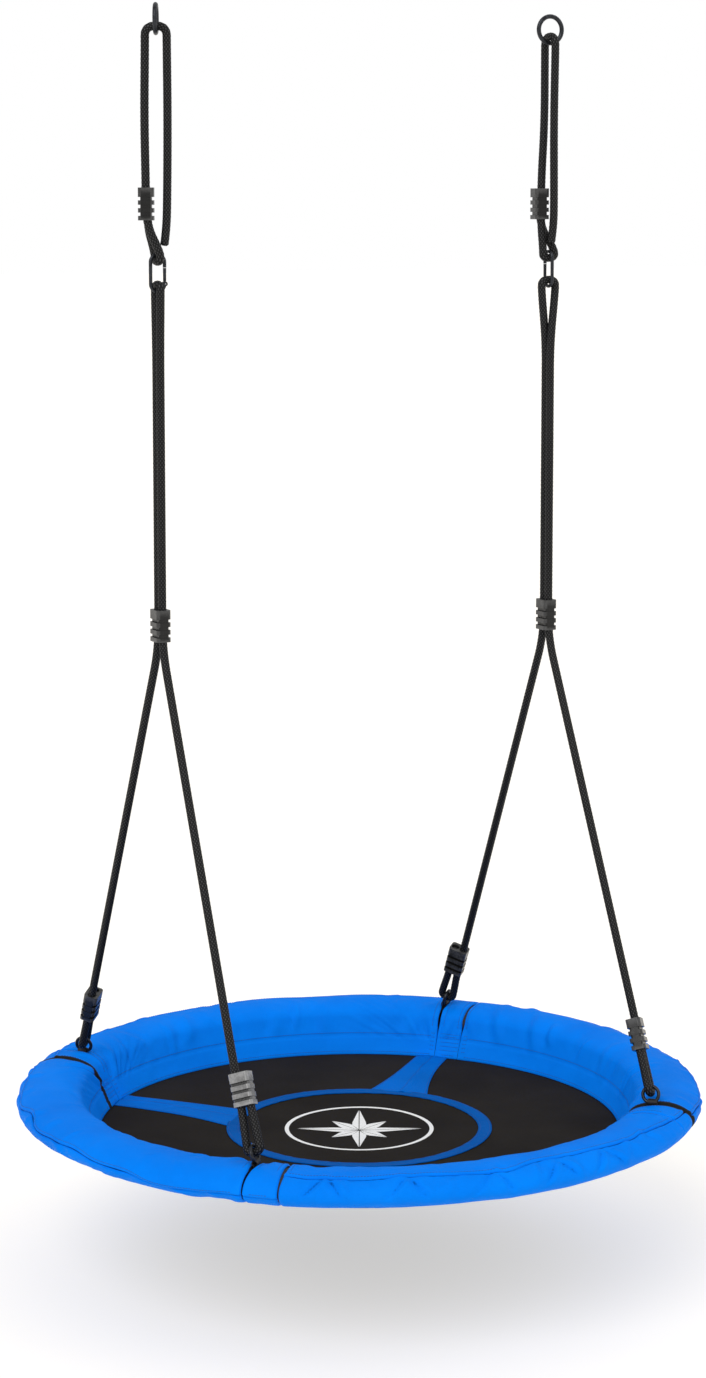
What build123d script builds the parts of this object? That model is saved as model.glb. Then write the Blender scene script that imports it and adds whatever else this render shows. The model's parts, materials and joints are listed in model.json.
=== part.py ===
from build123d import *
from collections import namedtuple
import math
import os

# Saucer nest swing, hung from two overhead hooks.
# Millimetres, +Z up. The origin is the middle of the line where the two hooks bear on the hanging rings,
# +X runs along the overhead beam and +Y towards the back of the swing.

# Whole swing
seat_radius = 500.0
rim_mid_z = -1568.0
tube_ring_radius = 442.0
half_span = tube_ring_radius * math.sqrt(0.5)
rope_diameter = 12.0
rope_radius = rope_diameter / 2
running_gap = 0.3

# Hanging rings at the hooks
hanging_wire = 6.5
hanging_ring_radius = 19.25
hanging_ring_z = -hanging_ring_radius + hanging_wire / 2
swing_axis_z = hanging_ring_z - hanging_ring_radius
left_ring_turn = 63.2
top_arch_radius = 15.0
top_arch_rise = 9.6

# Rope clamps: a core with one thick and three thin fins, and two rope bores
clamp_height = 45.0
clamp_fin_width = 21.5
clamp_fin_depth = 29.5
clamp_core_width = 15.0
clamp_core_depth = 28.4
clamp_top_fin = 13.0
clamp_thin_fin = 6.2
clamp_thin_fins = 3
clamp_bore_offset = 6.8
clamp_bore_radius = rope_radius + running_gap
clamp_edge_radius = 18.0
clamp_lead_radius = 300.0
clamp_corner = 3.0
clamp_fin_corner = 4.5
right_clamp_turn = 15.0

# Carabiners
carabiner_z = -363.0
carabiner_wire = 5.0
carabiner_half_width = 10.5
carabiner_half_height = 25.5
gate_pivot_drop = 15.0
gate_length = 22.0
gate_radius = 2.3
gate_eye_radius = 2.2
gate_tongue = 2.6
gate_tongue_width = 3.2
gate_slot = 3.2
gate_tip_gap = 0.6
hinge_barrel_radius = 3.3
hinge_barrel_length = 7.0
gate_pin_radius = 1.0
gate_pin_gap = 0.05
bight_radius = 9.6
crossed_bight_radius = 11.5

# Ropes between the carabiners and the seat
extension_clamp_z = -268.0
pair_start_z = -470.0
mid_clamp_z = {-1: -855.0, 1: -876.0}
leg_splay_drop = 32.0
leg_splay_radius = 60.0
saucer_bight_radius = 9.3
front_loop = 76.0
back_loop = 66.0

# Rings and straps that hold the seat
saucer_wire = 5.0
saucer_ring_radius = 11.5
saucer_ring_turn = 45.0
saucer_ring_low_z = rim_mid_z + 24.0
strap_width = 14.0
strap_thickness = 2.2
belt_width = 20.0
attachment_angles = {"right_back": 45, "left_back": 135, "left_front": 225, "right_front": 315}

# Tubular frame
tube_radius = 13.5
tube_wall = 2.0
tube_gap_deg = 0.15
spigot_radius = tube_radius - tube_wall - 0.1
spigot_wall = 2.0
spigot_half_deg = 5.2
screw_radius = 2.5
screw_length = 4.0
screw_seat = 9.2
screw_hole_low = 8.0
screw_gap = 0.05
screw_step_deg = 3.0
joint_angles = {"right": 0, "back": 90, "left": 180, "front": 270}

# Padding and covers, all elliptical in section
pad_radius = seat_radius - 46.0
cover_half_width = 46.0
cover_half_height = 22.0
cover_thickness = 1.5
skirt_high_join = (412.3, -7.5)
skirt_low_join = (414.9, -10.8)
skirt_gap = 0.1
foam_half_width = 44.0
foam_half_height = 20.0
foam_gap_deg = 1.7
slit_deg = 0.64
band_deg = 4.8
band_side = {"right_back": -1, "left_back": 1, "left_front": 1, "right_front": -1}

# Mat and its trim
mat_radius = 382.8
mat_edge_z = rim_mid_z - 50.0
mat_centre_z = rim_mid_z - 59.0
mat_thickness = 2.0
trim_outer = 196.0
trim_inner = 176.0
trim_thickness = 1.4
trim_lift = 0.05
strap_root_width = 88.0
strap_tip_width = 54.0
radial_straps = {"left_back_radial_strap": 136.0, "right_back_radial_strap": 45.0}

os.makedirs("parts", exist_ok=True)


def save(solid, name):
    solid.label = name
    export_step(solid, f"parts/{name}.step")


def polar(radius, angle_deg, z=0.0):
    angle = math.radians(angle_deg)
    return Vector(radius * math.cos(angle), radius * math.sin(angle), z)


def profile_revolve(profile, start_deg, sweep_deg):
    """Turns a radius/height profile about the Z axis, from start_deg through sweep_deg."""
    turned = revolve(Plane.XZ * profile, Axis.Z, sweep_deg)
    return Rot(0, 0, start_deg) * turned


# Ropes


def corner_turn(before, corner, after):
    return math.radians((corner - before).get_angle(after - corner))


def rope_tube(name, route):
    """Sweeps a rope along straight runs and tangent arcs. A route entry is a point, or a point with the
    radius of the ring, hook or clamp edge that the rope goes round there."""
    points = [Vector(*entry[0]) for entry in route]
    radii = []
    for index in range(1, len(points) - 1):
        before, corner, after = points[index - 1], points[index], points[index + 1]
        set_radius = route[index][1]
        shorter = min((corner - before).length, (after - corner).length)
        largest = 0.45 * shorter / math.tan(corner_turn(before, corner, after) / 2)
        radii.append(set_radius if set_radius else largest)
    path = FilletPolyline(*points, radius=radii)
    start = Plane(origin=path @ 0, z_dir=path % 0)
    tube = sweep(start * Circle(rope_radius), path=path)
    expected = math.pi * rope_radius**2 * path.length
    print(name, "length", round(path.length, 1), "volume ratio", round(tube.volume / expected, 4))
    print("  radii", [round(radius, 1) for radius in radii])
    return tube


def extension_clamp_pair(side):
    """The way from one bore of the extension clamp to the other."""
    return polar(1.0, left_ring_turn if side < 0 else left_ring_turn + right_clamp_turn)


def extension_route(side):
    """From the dead end in the clamp, down round the carabiner, up through the clamp, over the hanging
    ring and down the long strand to where it is tucked in above the carabiner."""
    centre = Vector(side * half_span, 0, 0)
    beside = polar(1.0, left_ring_turn - 90)
    behind = polar(1.0, left_ring_turn)
    if side < 0:
        along = beside
        pair = Vector(0, 1, 0)
        clamp = beside * -15.0
        long_strand = beside * 14.0
        tail = beside * 9.5
        middle_share = 0.5
    else:
        along = Vector(0, -1, 0)
        pair = Vector(1, 0, 0)
        clamp = beside * -13.5 + behind * 6.0
        long_strand = beside * 7.0 - behind * 7.0
        tail = beside * 3.0 - behind * 7.0
        middle_share = 0.25
    arch_low = swing_axis_z + top_arch_rise - top_arch_radius
    arch_top = swing_axis_z + top_arch_rise
    clamp_low = extension_clamp_z - clamp_height / 2
    clamp_high = extension_clamp_z + clamp_height / 2
    wire_z = carabiner_z + carabiner_half_height
    bight_low = wire_z - bight_radius
    dead = clamp + extension_clamp_pair(side) * clamp_bore_offset
    running = clamp - extension_clamp_pair(side) * clamp_bore_offset

    def at(offset, z):
        return tuple(centre + offset + Vector(0, 0, z))

    return [
        (at(dead, clamp_high - 3.0), None),
        (at(dead, clamp_low - 5.0), clamp_edge_radius),
        (at(pair * bight_radius, wire_z + 3.0), None),
        (at(pair * bight_radius, bight_low), bight_radius - 0.05),
        (at(pair * -bight_radius, bight_low), bight_radius - 0.05),
        (at(pair * -bight_radius, wire_z + 3.0), None),
        (at(running, clamp_low - 5.0), clamp_edge_radius),
        (at(running, clamp_high + 10.0), clamp_lead_radius),
        (at(running * middle_share + along * -9.0, -150.0), None),
        (at(along * -top_arch_radius, arch_low - 12.0), None),
        (at(along * -top_arch_radius, arch_top), top_arch_radius - 0.05),
        (at(along * top_arch_radius, arch_top), top_arch_radius - 0.05),
        (at(along * top_arch_radius, arch_low - 12.0), None),
        (at(long_strand * middle_share + along * 8.5, -150.0), None),
        (at(long_strand, extension_clamp_z), None),
        (at(long_strand * 0.9, clamp_low - 12.0), None),
        (at(tail, wire_z + 12.0), None),
    ]


def splay_point(side, back):
    """Where a leg turns out of the rope pair, just below the mid clamp."""
    return Vector(side * half_span, back * clamp_bore_offset, mid_clamp_z[side] - leg_splay_drop)


def leg_loop(back):
    """How far up a leg its clamp sits from the top of the saucer ring."""
    return back_loop if back > 0 else front_loop


LegFrame = namedtuple("LegFrame", "low high up radial across")


def leg_frame(side, back):
    """Where a leg meets its saucer ring: the wire's low and high points, and the leg's own axes."""
    angle = math.degrees(math.atan2(back, side))
    outward = polar(1.0, angle)
    low = polar(tube_ring_radius, angle, saucer_ring_low_z)
    clamp_exit = splay_point(side, back)
    up = (clamp_exit - low).normalized()
    radial = (outward - up * outward.dot(up)).normalized()
    across = up.cross(radial)
    high = low + up * (2 * saucer_ring_radius)
    return LegFrame(low, high, up, radial, across)


def leg_points(side, back):
    """The rope from its dead end in the leg clamp, round the saucer ring and up to the mid clamp."""
    leg = leg_frame(side, back)
    loop = leg_loop(back)
    across = leg.across if leg.across.X * side > 0 else leg.across * -1
    clamp_low = loop - clamp_height / 2
    clamp_high = loop + clamp_height / 2

    def at(sideways, height):
        return tuple(leg.high + across * sideways + leg.up * height)

    return [
        (at(-clamp_bore_offset, clamp_high - 3.0), None),
        (at(-clamp_bore_offset, clamp_low - 5.0), None),
        (at(-saucer_bight_radius, 3.0), None),
        (at(-saucer_bight_radius, -saucer_bight_radius), saucer_bight_radius - 0.05),
        (at(saucer_bight_radius, -saucer_bight_radius), saucer_bight_radius - 0.05),
        (at(saucer_bight_radius, 3.0), None),
        (at(clamp_bore_offset, clamp_low - 5.0), None),
        (at(clamp_bore_offset, clamp_high + 8.0), None),
        (tuple(splay_point(side, back)), leg_splay_radius),
    ]


def main_route(side):
    """Up the front leg, through the mid clamp, over the carabiner and down the back leg."""
    wire_z = carabiner_z - carabiner_half_height
    if side < 0:
        across = Vector(0, -1, 0)
        arch = bight_radius
    else:
        across = Vector(1, 0, 0)
        arch = crossed_bight_radius
    arch_top = wire_z + bight_radius
    centre = Vector(side * half_span, 0, 0)

    def pair_side(sign, z):
        return tuple(centre + across * (sign * arch) + Vector(0, 0, z))

    front = (side * half_span, -clamp_bore_offset, pair_start_z)
    back = (side * half_span, clamp_bore_offset, pair_start_z)
    over = [
        (front, None),
        (pair_side(1, wire_z - 8.0), None),
        (pair_side(1, arch_top), arch - 0.05),
        (pair_side(-1, arch_top), arch - 0.05),
        (pair_side(-1, wire_z - 8.0), None),
        (back, None),
    ]
    return leg_points(side, -1) + over + list(reversed(leg_points(side, 1)))


# Clamps


def rope_clamp():
    """A clamp about the origin, bores along Z and side by side along Y."""
    top = clamp_height / 2
    body = Box(clamp_core_width, clamp_core_depth, clamp_height)
    body = fillet(body.edges().filter_by(Axis.Z), clamp_corner)
    fin_outline = RectangleRounded(clamp_fin_width, clamp_fin_depth, clamp_fin_corner)
    body += Pos(0, 0, top - clamp_top_fin) * extrude(fin_outline, clamp_top_fin)
    pitch = (clamp_height - clamp_top_fin) / clamp_thin_fins
    for index in range(clamp_thin_fins):
        body += Pos(0, 0, -top + index * pitch) * extrude(fin_outline, clamp_thin_fin)
    for sign in (-1, 1):
        bore = Cylinder(clamp_bore_radius, clamp_height + 2)
        body -= Pos(0, sign * clamp_bore_offset, 0) * bore
    return body


def placed(origin, x_dir, z_dir, solid):
    return Plane(origin=origin, x_dir=x_dir, z_dir=z_dir).location * solid


# Carabiners, drawn in the XZ plane about their centre, with the gate on the +X side


def carabiner_body():
    half_straight = carabiner_half_height - carabiner_half_width
    nose_z = -gate_pivot_drop + gate_length + gate_tip_gap
    hinge_z = -gate_pivot_drop
    width = carabiner_half_width
    nose = Line((width, 0, nose_z), (width, 0, half_straight))
    top = ThreePointArc((width, 0, half_straight), (0, 0, carabiner_half_height), (-width, 0, half_straight))
    spine = Line((-width, 0, half_straight), (-width, 0, -half_straight))
    low = ThreePointArc((-width, 0, -half_straight), (0, 0, -carabiner_half_height), (width, 0, hinge_z))
    path = Wire([nose, top, spine, low])
    start = Plane(origin=path @ 0, z_dir=path % 0)
    body = sweep(start * Circle(carabiner_wire / 2), path=path)
    pivot = Pos(width, 0, hinge_z)
    body += pivot * Rot(90, 0, 0) * Cylinder(hinge_barrel_radius, hinge_barrel_length)
    body -= pivot * Pos(0, 0, 2.0) * Box(12, gate_slot, 4 * hinge_barrel_radius - 1)
    body -= pivot * Rot(90, 0, 0) * Cylinder(gate_pin_radius, hinge_barrel_length + 2)
    return body


def carabiner_gate():
    pivot = Pos(carabiner_half_width, 0, -gate_pivot_drop)
    rod_low = hinge_barrel_radius + 0.5
    eye = Rot(90, 0, 0) * Cylinder(gate_eye_radius, gate_tongue)
    tongue_high = rod_low + 1.0
    tongue = Pos(0, 0, tongue_high / 2) * Box(gate_tongue_width, gate_tongue, tongue_high)
    rod = Pos(0, 0, rod_low) * extrude(Circle(gate_radius), gate_length - rod_low)
    gate = pivot * (eye + tongue + rod)
    gate -= pivot * Rot(90, 0, 0) * Cylinder(gate_pin_radius + gate_pin_gap, hinge_barrel_length)
    return gate


def gate_pin():
    pivot = Pos(carabiner_half_width, 0, -gate_pivot_drop)
    return pivot * Rot(90, 0, 0) * Cylinder(gate_pin_radius, hinge_barrel_length)


# Seat


def ellipse_area(half_width, half_height):
    return Pos(pad_radius, 0) * Ellipse(half_width, half_height)


def cover_profile():
    """The cover's elliptical skin round the padding."""
    skin = ellipse_area(cover_half_width, cover_half_height)
    skin -= ellipse_area(cover_half_width - cover_thickness, cover_half_height - cover_thickness)
    return Pos(0, rim_mid_z) * skin


def skirt_outline():
    """The skirt that runs in from the cover to the mat's edge."""
    mat_top = mat_edge_z - rim_mid_z
    return Polygon(
        (mat_radius + 0.4, mat_top + 1.0),
        (mat_radius + 2.4, mat_top - 1.0),
        skirt_low_join,
        skirt_high_join,
        align=None,
    )


def skirt_profile():
    """The skirt on its own, cut to fit against the cover."""
    cover_room = ellipse_area(cover_half_width + skirt_gap, cover_half_height + skirt_gap)
    return Pos(0, rim_mid_z) * (skirt_outline() - cover_room)


def band_profile():
    """A rim band is one piece of cloth, padding skin and skirt together."""
    return cover_profile() + Pos(0, rim_mid_z) * skirt_outline()


def foam_profile():
    tube_hole = Pos(tube_ring_radius, 0) * Circle(tube_radius + running_gap)
    return Pos(0, rim_mid_z) * (ellipse_area(foam_half_width, foam_half_height) - tube_hole)


def tube_profile(radius, wall):
    return Pos(tube_ring_radius, rim_mid_z) * (Circle(radius) - Circle(radius - wall))


def mat_sheet(lift, thickness, inner, outer):
    """A dished sheet that follows the mat, lift above its top face."""
    slope = (mat_edge_z - mat_centre_z) / mat_radius
    low_in = mat_centre_z + slope * inner + lift
    low_out = mat_centre_z + slope * outer + lift
    outline = Polygon(
        (inner, low_in),
        (outer, low_out),
        (outer, low_out + thickness),
        (inner, low_in + thickness),
        align=None,
    )
    return profile_revolve(outline, 0, 360)


def hanging_strap(name, angle):
    """A belt round the frame tube, with the two plies that rise from it and wrap the saucer ring."""
    side = 1 if "right" in name else -1
    back = 1 if "back" in name else -1
    leg = leg_frame(side, back)
    outward = polar(1.0, angle)
    tangent = polar(1.0, angle + 90)
    centre = polar(tube_ring_radius, angle, rim_mid_z)
    belt_inner = tube_radius + running_gap
    belt_outline = Circle(belt_inner + strap_thickness) - Circle(belt_inner)
    belt_plane = Plane(origin=centre, x_dir=outward, z_dir=tangent)
    belt = extrude(belt_plane * belt_outline, belt_width / 2, both=True)
    foot = tube_radius + strap_thickness - 1.0
    head = leg.low.Z - rim_mid_z
    ply_outline = Polygon(
        (-strap_thickness, foot),
        (strap_thickness, foot),
        (saucer_wire / 2 + strap_thickness, head),
        (-saucer_wire / 2 - strap_thickness, head),
        align=None,
    )
    ply_plane = Plane(origin=centre, x_dir=tangent, z_dir=outward * -1)
    if ply_plane.y_dir.Z < 0:
        ply_plane = Plane(origin=centre, x_dir=tangent, z_dir=outward)
    plies = extrude(ply_plane * ply_outline, strap_width / 2, both=True)
    middle = leg.low + leg.up * saucer_ring_radius
    ring_plane = Plane(origin=middle, x_dir=leg.radial, z_dir=leg.across)
    wrap = ring_plane.location * Torus(saucer_ring_radius, saucer_wire / 2 + strap_thickness)
    keep = Plane(origin=leg.low, x_dir=leg.radial, z_dir=leg.up).location * Box(strap_width, 20, 16)
    strap = belt + plies + (wrap & keep)
    strap -= ring_plane.location * Torus(saucer_ring_radius, saucer_wire / 2 + running_gap)
    return strap


def saucer_ring(side, back):
    leg = leg_frame(side, back)
    middle = leg.low + leg.up * saucer_ring_radius
    ring_place = Plane(origin=middle, x_dir=leg.radial, z_dir=leg.across).location
    return ring_place * Rot(0, 0, saucer_ring_turn) * Torus(saucer_ring_radius, saucer_wire / 2)


# Hanging rings
ring = Torus(hanging_ring_radius, hanging_wire / 2)
upright_ring = Rot(90, 0, 0) * ring
save(Pos(half_span, 0, hanging_ring_z) * upright_ring, "right_hanging_ring")
save(Pos(-half_span, 0, hanging_ring_z) * Rot(0, 0, left_ring_turn) * upright_ring, "left_hanging_ring")

for side_name, side in (("left", -1), ("right", 1)):
    hang_x = side * half_span
    save(rope_tube(f"{side_name} extension", extension_route(side)), f"{side_name}_extension_rope")
    save(rope_tube(f"{side_name} main", main_route(side)), f"{side_name}_main_rope")

    clamp_centre = Vector(*extension_route(side)[0][0]) + Vector(*extension_route(side)[7][0])
    clamp_centre = Vector(clamp_centre.X / 2, clamp_centre.Y / 2, extension_clamp_z)
    clamp_x_dir = extension_clamp_pair(side).cross(Vector(0, 0, 1))
    save(placed(clamp_centre, clamp_x_dir, Vector(0, 0, 1), rope_clamp()), f"{side_name}_extension_clamp")
    save(Pos(hang_x, 0, mid_clamp_z[side]) * rope_clamp(), f"{side_name}_mid_clamp")

    carabiner_turn = 0 if side < 0 else 90
    stand = Pos(hang_x, 0, carabiner_z) * Rot(0, 0, carabiner_turn)
    save(stand * carabiner_body(), f"{side_name}_carabiner_body")
    save(stand * carabiner_gate(), f"{side_name}_carabiner_gate")
    save(stand * gate_pin(), f"{side_name}_gate_pin")

    for end_name, back in (("front", -1), ("back", 1)):
        leg = leg_frame(side, back)
        leg_clamp = placed(leg.high + leg.up * leg_loop(back), leg.radial, leg.up, rope_clamp())
        save(leg_clamp, f"{side_name}_{end_name}_leg_clamp")
        save(saucer_ring(side, back), f"{side_name}_{end_name}_saucer_ring")

# Straps, bands and covers
names = list(attachment_angles)
for name, angle in attachment_angles.items():
    save(hanging_strap(name, angle), f"{name}_hanging_strap")
    if band_side[name] > 0:
        band_start = angle + slit_deg
    else:
        band_start = angle - slit_deg - band_deg
    save(profile_revolve(band_profile(), band_start, band_deg), f"{name}_rim_band")

for index, cover_name in enumerate(("back_cover", "left_cover", "front_cover", "right_cover")):
    first = names[index]
    second = names[(index + 1) % 4]
    start = attachment_angles[first] + slit_deg
    if band_side[first] > 0:
        start += band_deg + slit_deg
    end = attachment_angles[first] + 90 - slit_deg
    if band_side[second] < 0:
        end -= band_deg + slit_deg
    save(profile_revolve(cover_profile(), start, end - start), cover_name)
    save(profile_revolve(skirt_profile(), start, end - start), cover_name.replace("cover", "skirt"))
    foam_start = attachment_angles[first] + foam_gap_deg
    foam = profile_revolve(foam_profile(), foam_start, 90 - 2 * foam_gap_deg)
    save(foam, cover_name.replace("cover", "foam_sleeve"))

# Frame tube, in four quarters that meet over spigots
screw_places = []
for joint_angle in joint_angles.values():
    for step in (-screw_step_deg, screw_step_deg):
        screw_places.append(polar(tube_ring_radius, joint_angle + step, rim_mid_z))


def with_screw_holes(solid):
    hole_height = tube_radius + 2 - screw_hole_low
    hole = Pos(0, 0, screw_hole_low + hole_height / 2) * Cylinder(screw_radius, hole_height)
    for place in screw_places:
        solid -= Pos(*place) * hole
    return solid


tube_section = tube_profile(tube_radius, tube_wall)
spigot_section = tube_profile(spigot_radius, spigot_wall)
for name, angle in attachment_angles.items():
    quarter = profile_revolve(tube_section, angle - 45 + tube_gap_deg, 90 - 2 * tube_gap_deg)
    save(with_screw_holes(quarter), f"{name}_frame_tube")
for name, angle in joint_angles.items():
    spigot = profile_revolve(spigot_section, angle - spigot_half_deg, 2 * spigot_half_deg)
    save(with_screw_holes(spigot), f"{name}_spigot")
screw = Pos(0, 0, screw_seat + screw_length / 2) * Cylinder(screw_radius - screw_gap, screw_length)
screws = [Pos(*place) * screw for place in screw_places]
save(Compound(children=screws), "frame_screws")

# Mat, trim and radial straps
save(mat_sheet(-mat_thickness, mat_thickness, 0, mat_radius), "mat")
save(mat_sheet(trim_lift, trim_thickness, trim_inner, trim_outer), "centre_ring_trim")
for name, angle in radial_straps.items():
    outline = Polygon(
        (trim_outer - 4, -strap_root_width / 2),
        (mat_radius, -strap_tip_width / 2),
        (mat_radius, strap_tip_width / 2),
        (trim_outer - 4, strap_root_width / 2),
        align=None,
    )
    column = Pos(0, 0, mat_centre_z) * extrude(outline, 40, both=True)
    sheet = mat_sheet(trim_lift, trim_thickness, trim_outer + 0.2, mat_radius - 1.0)
    save(Rot(0, 0, angle) * (column & sheet), name)
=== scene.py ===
"""Looks of the saucer nest swing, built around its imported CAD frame. Metres, +Z up."""

import json
import math
import random
from collections import namedtuple

import bpy
import numpy as np
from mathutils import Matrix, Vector


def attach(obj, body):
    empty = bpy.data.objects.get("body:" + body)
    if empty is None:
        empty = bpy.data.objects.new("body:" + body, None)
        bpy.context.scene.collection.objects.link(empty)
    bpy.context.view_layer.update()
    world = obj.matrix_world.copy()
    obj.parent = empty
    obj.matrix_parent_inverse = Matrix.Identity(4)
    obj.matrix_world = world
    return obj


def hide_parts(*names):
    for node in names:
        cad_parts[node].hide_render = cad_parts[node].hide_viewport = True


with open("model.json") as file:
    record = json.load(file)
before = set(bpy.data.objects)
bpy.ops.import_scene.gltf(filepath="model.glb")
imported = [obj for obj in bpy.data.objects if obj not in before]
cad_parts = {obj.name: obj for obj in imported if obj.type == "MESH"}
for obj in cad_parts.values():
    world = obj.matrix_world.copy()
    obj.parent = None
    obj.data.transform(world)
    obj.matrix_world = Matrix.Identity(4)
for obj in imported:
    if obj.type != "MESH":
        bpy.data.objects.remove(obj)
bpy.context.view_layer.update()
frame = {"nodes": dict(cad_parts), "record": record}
NODES = frame["nodes"]

# Driving sizes
RIM_Z = -1.568
TUBE_RING_RADIUS = 0.442
HALF_SPAN = TUBE_RING_RADIUS * math.sqrt(0.5)
PAD_RADIUS = 0.454
PAD_HALF_WIDTH = 0.046
PAD_HALF_HEIGHT = 0.022
MAT_RADIUS = 0.3828
MAT_EDGE_Z = RIM_Z - 0.050
MAT_CENTRE_Z = RIM_Z - 0.059
TRIM_OUTER = 0.196
TRIM_INNER = 0.176
ROPE_RADIUS = 0.006
BRAID_STRANDS = 8
BRAID_PITCH = 0.048
EXTENSION_ROPE_LENGTH = 0.76
MAIN_ROPE_LENGTH = 2.69
# Height of a saucer ring's lowest wire above the middle of the frame tube
WIRE_RISE = 0.024

# Camera
CAMERA_AZIMUTH = math.radians(-26.8)
CAMERA_DISTANCE = 4.482
CAMERA_HEIGHT = 1.303
CAMERA_PITCH = math.radians(7.07)
FOCAL_SHARE = 3122 / 1378
SHIFT_UP = -0.0726
SHIFT_SIDE = -0.0045
SENSOR_HEIGHT = 36.0

# Stage
FLOOR_Z = -1.828
FLOOR_REACH = 60.0
FLOOR_COLOUR = (0.62, 0.585, 0.53)
FLOOR_GLOW = 0.50
SKY_LIGHT = 0.45
# Each lamp: the direction that it shines in, how wide it is in the sky in degrees, and its strength
LAMPS = {
    "overhead": ((0.0, 0.0, -1.0), 120.0, 0.75),
    "key": ((0.75, 0.60, -0.75), 40.0, 1.40),
    "fill": ((-0.90, 0.55, -0.50), 60.0, 0.60),
}


def polar(radius, angle, z=0.0):
    return Vector((radius * math.cos(angle), radius * math.sin(angle), z))


# Shader helpers

# How far a wave texture of scale 1 turns in one unit, in radians
WAVE_RATE = 20.0
# How far the painted shade in a groove between two plastic fins reaches
GROOVE_SHADE_REACH = 0.005


class Shader:
    """A node material with a few short ways to add and join nodes."""

    def __init__(self, name, colour, roughness, metallic=0.0):
        self.material = bpy.data.materials.new(name)
        self.material.use_nodes = True
        self.tree = self.material.node_tree
        self.bsdf = self.tree.nodes["Principled BSDF"]
        self.set(self.bsdf, "Base Color", (*colour, 1.0))
        self.set(self.bsdf, "Roughness", roughness)
        self.set(self.bsdf, "Metallic", metallic)
        self.coordinates = self.tree.nodes.new("ShaderNodeTexCoord")

    def set(self, node, socket, value):
        """Joins value to the socket where it is another socket, and else sets it."""
        if isinstance(value, bpy.types.NodeSocket):
            self.tree.links.new(value, node.inputs[socket])
        else:
            node.inputs[socket].default_value = value

    def node(self, kind, inputs=(), **settings):
        made = self.tree.nodes.new(kind)
        for key, value in settings.items():
            setattr(made, key, value)
        for socket, value in dict(inputs).items():
            self.set(made, socket, value)
        return made

    def place(self, scale, source="Object", turn=0.0):
        """A source's coordinates, scaled and turned about Z."""
        inputs = {"Vector": self.coordinates.outputs[source], "Scale": scale, "Rotation": (0.0, 0.0, turn)}
        return self.node("ShaderNodeMapping", inputs).outputs["Vector"]

    def noise(self, scale, detail=3.0, roughness=0.55, vector=None):
        vector = vector or self.coordinates.outputs["Object"]
        inputs = {"Vector": vector, "Scale": scale, "Detail": detail, "Roughness": roughness}
        return self.node("ShaderNodeTexNoise", inputs).outputs["Fac"]

    def wave(self, direction, spacing):
        """Bands across the UVs' X or Y, with that spacing in metres between them."""
        inputs = {"Vector": self.coordinates.outputs["UV"], "Scale": 2 * math.pi / (WAVE_RATE * spacing)}
        made = self.node("ShaderNodeTexWave", inputs, wave_type="BANDS", bands_direction=direction)
        return made.outputs["Fac"]

    def math(self, operation, first, second=0.0):
        made = self.node("ShaderNodeMath", operation=operation)
        self.set(made, 0, first)
        self.set(made, 1, second)
        return made.outputs[0]

    def spread(self, value, low, high, to_low, to_high):
        """Maps low to to_low and high to to_high, and stays within the two."""
        inputs = {"Value": value, 1: low, 2: high, 3: to_low, 4: to_high}
        return self.node("ShaderNodeMapRange", inputs).outputs[0]

    def ramp(self, value, *stops):
        """A colour ramp. Each stop is its place from 0 to 1 and its colour."""
        made = self.node("ShaderNodeValToRGB", {"Fac": value})
        ramp = made.color_ramp
        while len(ramp.elements) < len(stops):
            ramp.elements.new(0.5)
        for element, (place, colour) in zip(ramp.elements, stops):
            element.position = place
            element.color = (*colour, 1.0)
        return made.outputs["Color"]

    def bump(self, height, distance, strength=1.0, under=None):
        inputs = {"Height": height, "Distance": distance, "Strength": strength}
        if under is not None:
            inputs["Normal"] = under
        return self.node("ShaderNodeBump", inputs).outputs["Normal"]

    def finish(self, colour=None, roughness=None, normal=None):
        for socket, value in (("Base Color", colour), ("Roughness", roughness), ("Normal", normal)):
            if value is not None:
                self.set(self.bsdf, socket, value)
        return self.material


def rope_material(name):
    """Black braided polyester. Its UVs run in metres, along and round the rope."""
    shader = Shader(name, (0.004, 0.004, 0.0045), 0.5)
    fibres = shader.noise(1.0, 2.0, 0.5, shader.place((2200.0, 5200.0, 1.0), "UV", 0.6))
    place = shader.node("ShaderNodeSeparateXYZ", {"Vector": shader.coordinates.outputs["UV"]}).outputs
    along = shader.math("MULTIPLY", place["X"], math.pi * BRAID_STRANDS / BRAID_PITCH)
    around = shader.math("MULTIPLY", place["Y"], BRAID_STRANDS / (2 * ROPE_RADIUS))
    right = shader.math("ABSOLUTE", shader.math("SINE", shader.math("ADD", around, along)))
    left = shader.math("ABSOLUTE", shader.math("SINE", shader.math("SUBTRACT", around, along)))
    crown = shader.math("MULTIPLY", right, left)
    crown_glints_and_groove_shade = shader.math("MULTIPLY", crown, shader.spread(fibres, 0.3, 0.7, 0.6, 1.3))
    # Painted glints and shade: the strands' crowns are painted lighter and the grooves between them near
    # black
    colour = shader.ramp(crown_glints_and_groove_shade, (0.45, (0.0008, 0.0008, 0.0009)), (0.95, (0.055, 0.055, 0.057)))
    roughness = shader.spread(crown, 0.3, 0.9, 0.65, 0.30)
    shader.set(shader.bsdf, "Specular IOR Level", 0.22)
    return shader.finish(colour, roughness, shader.bump(fibres, 0.0002, 0.5))


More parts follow.
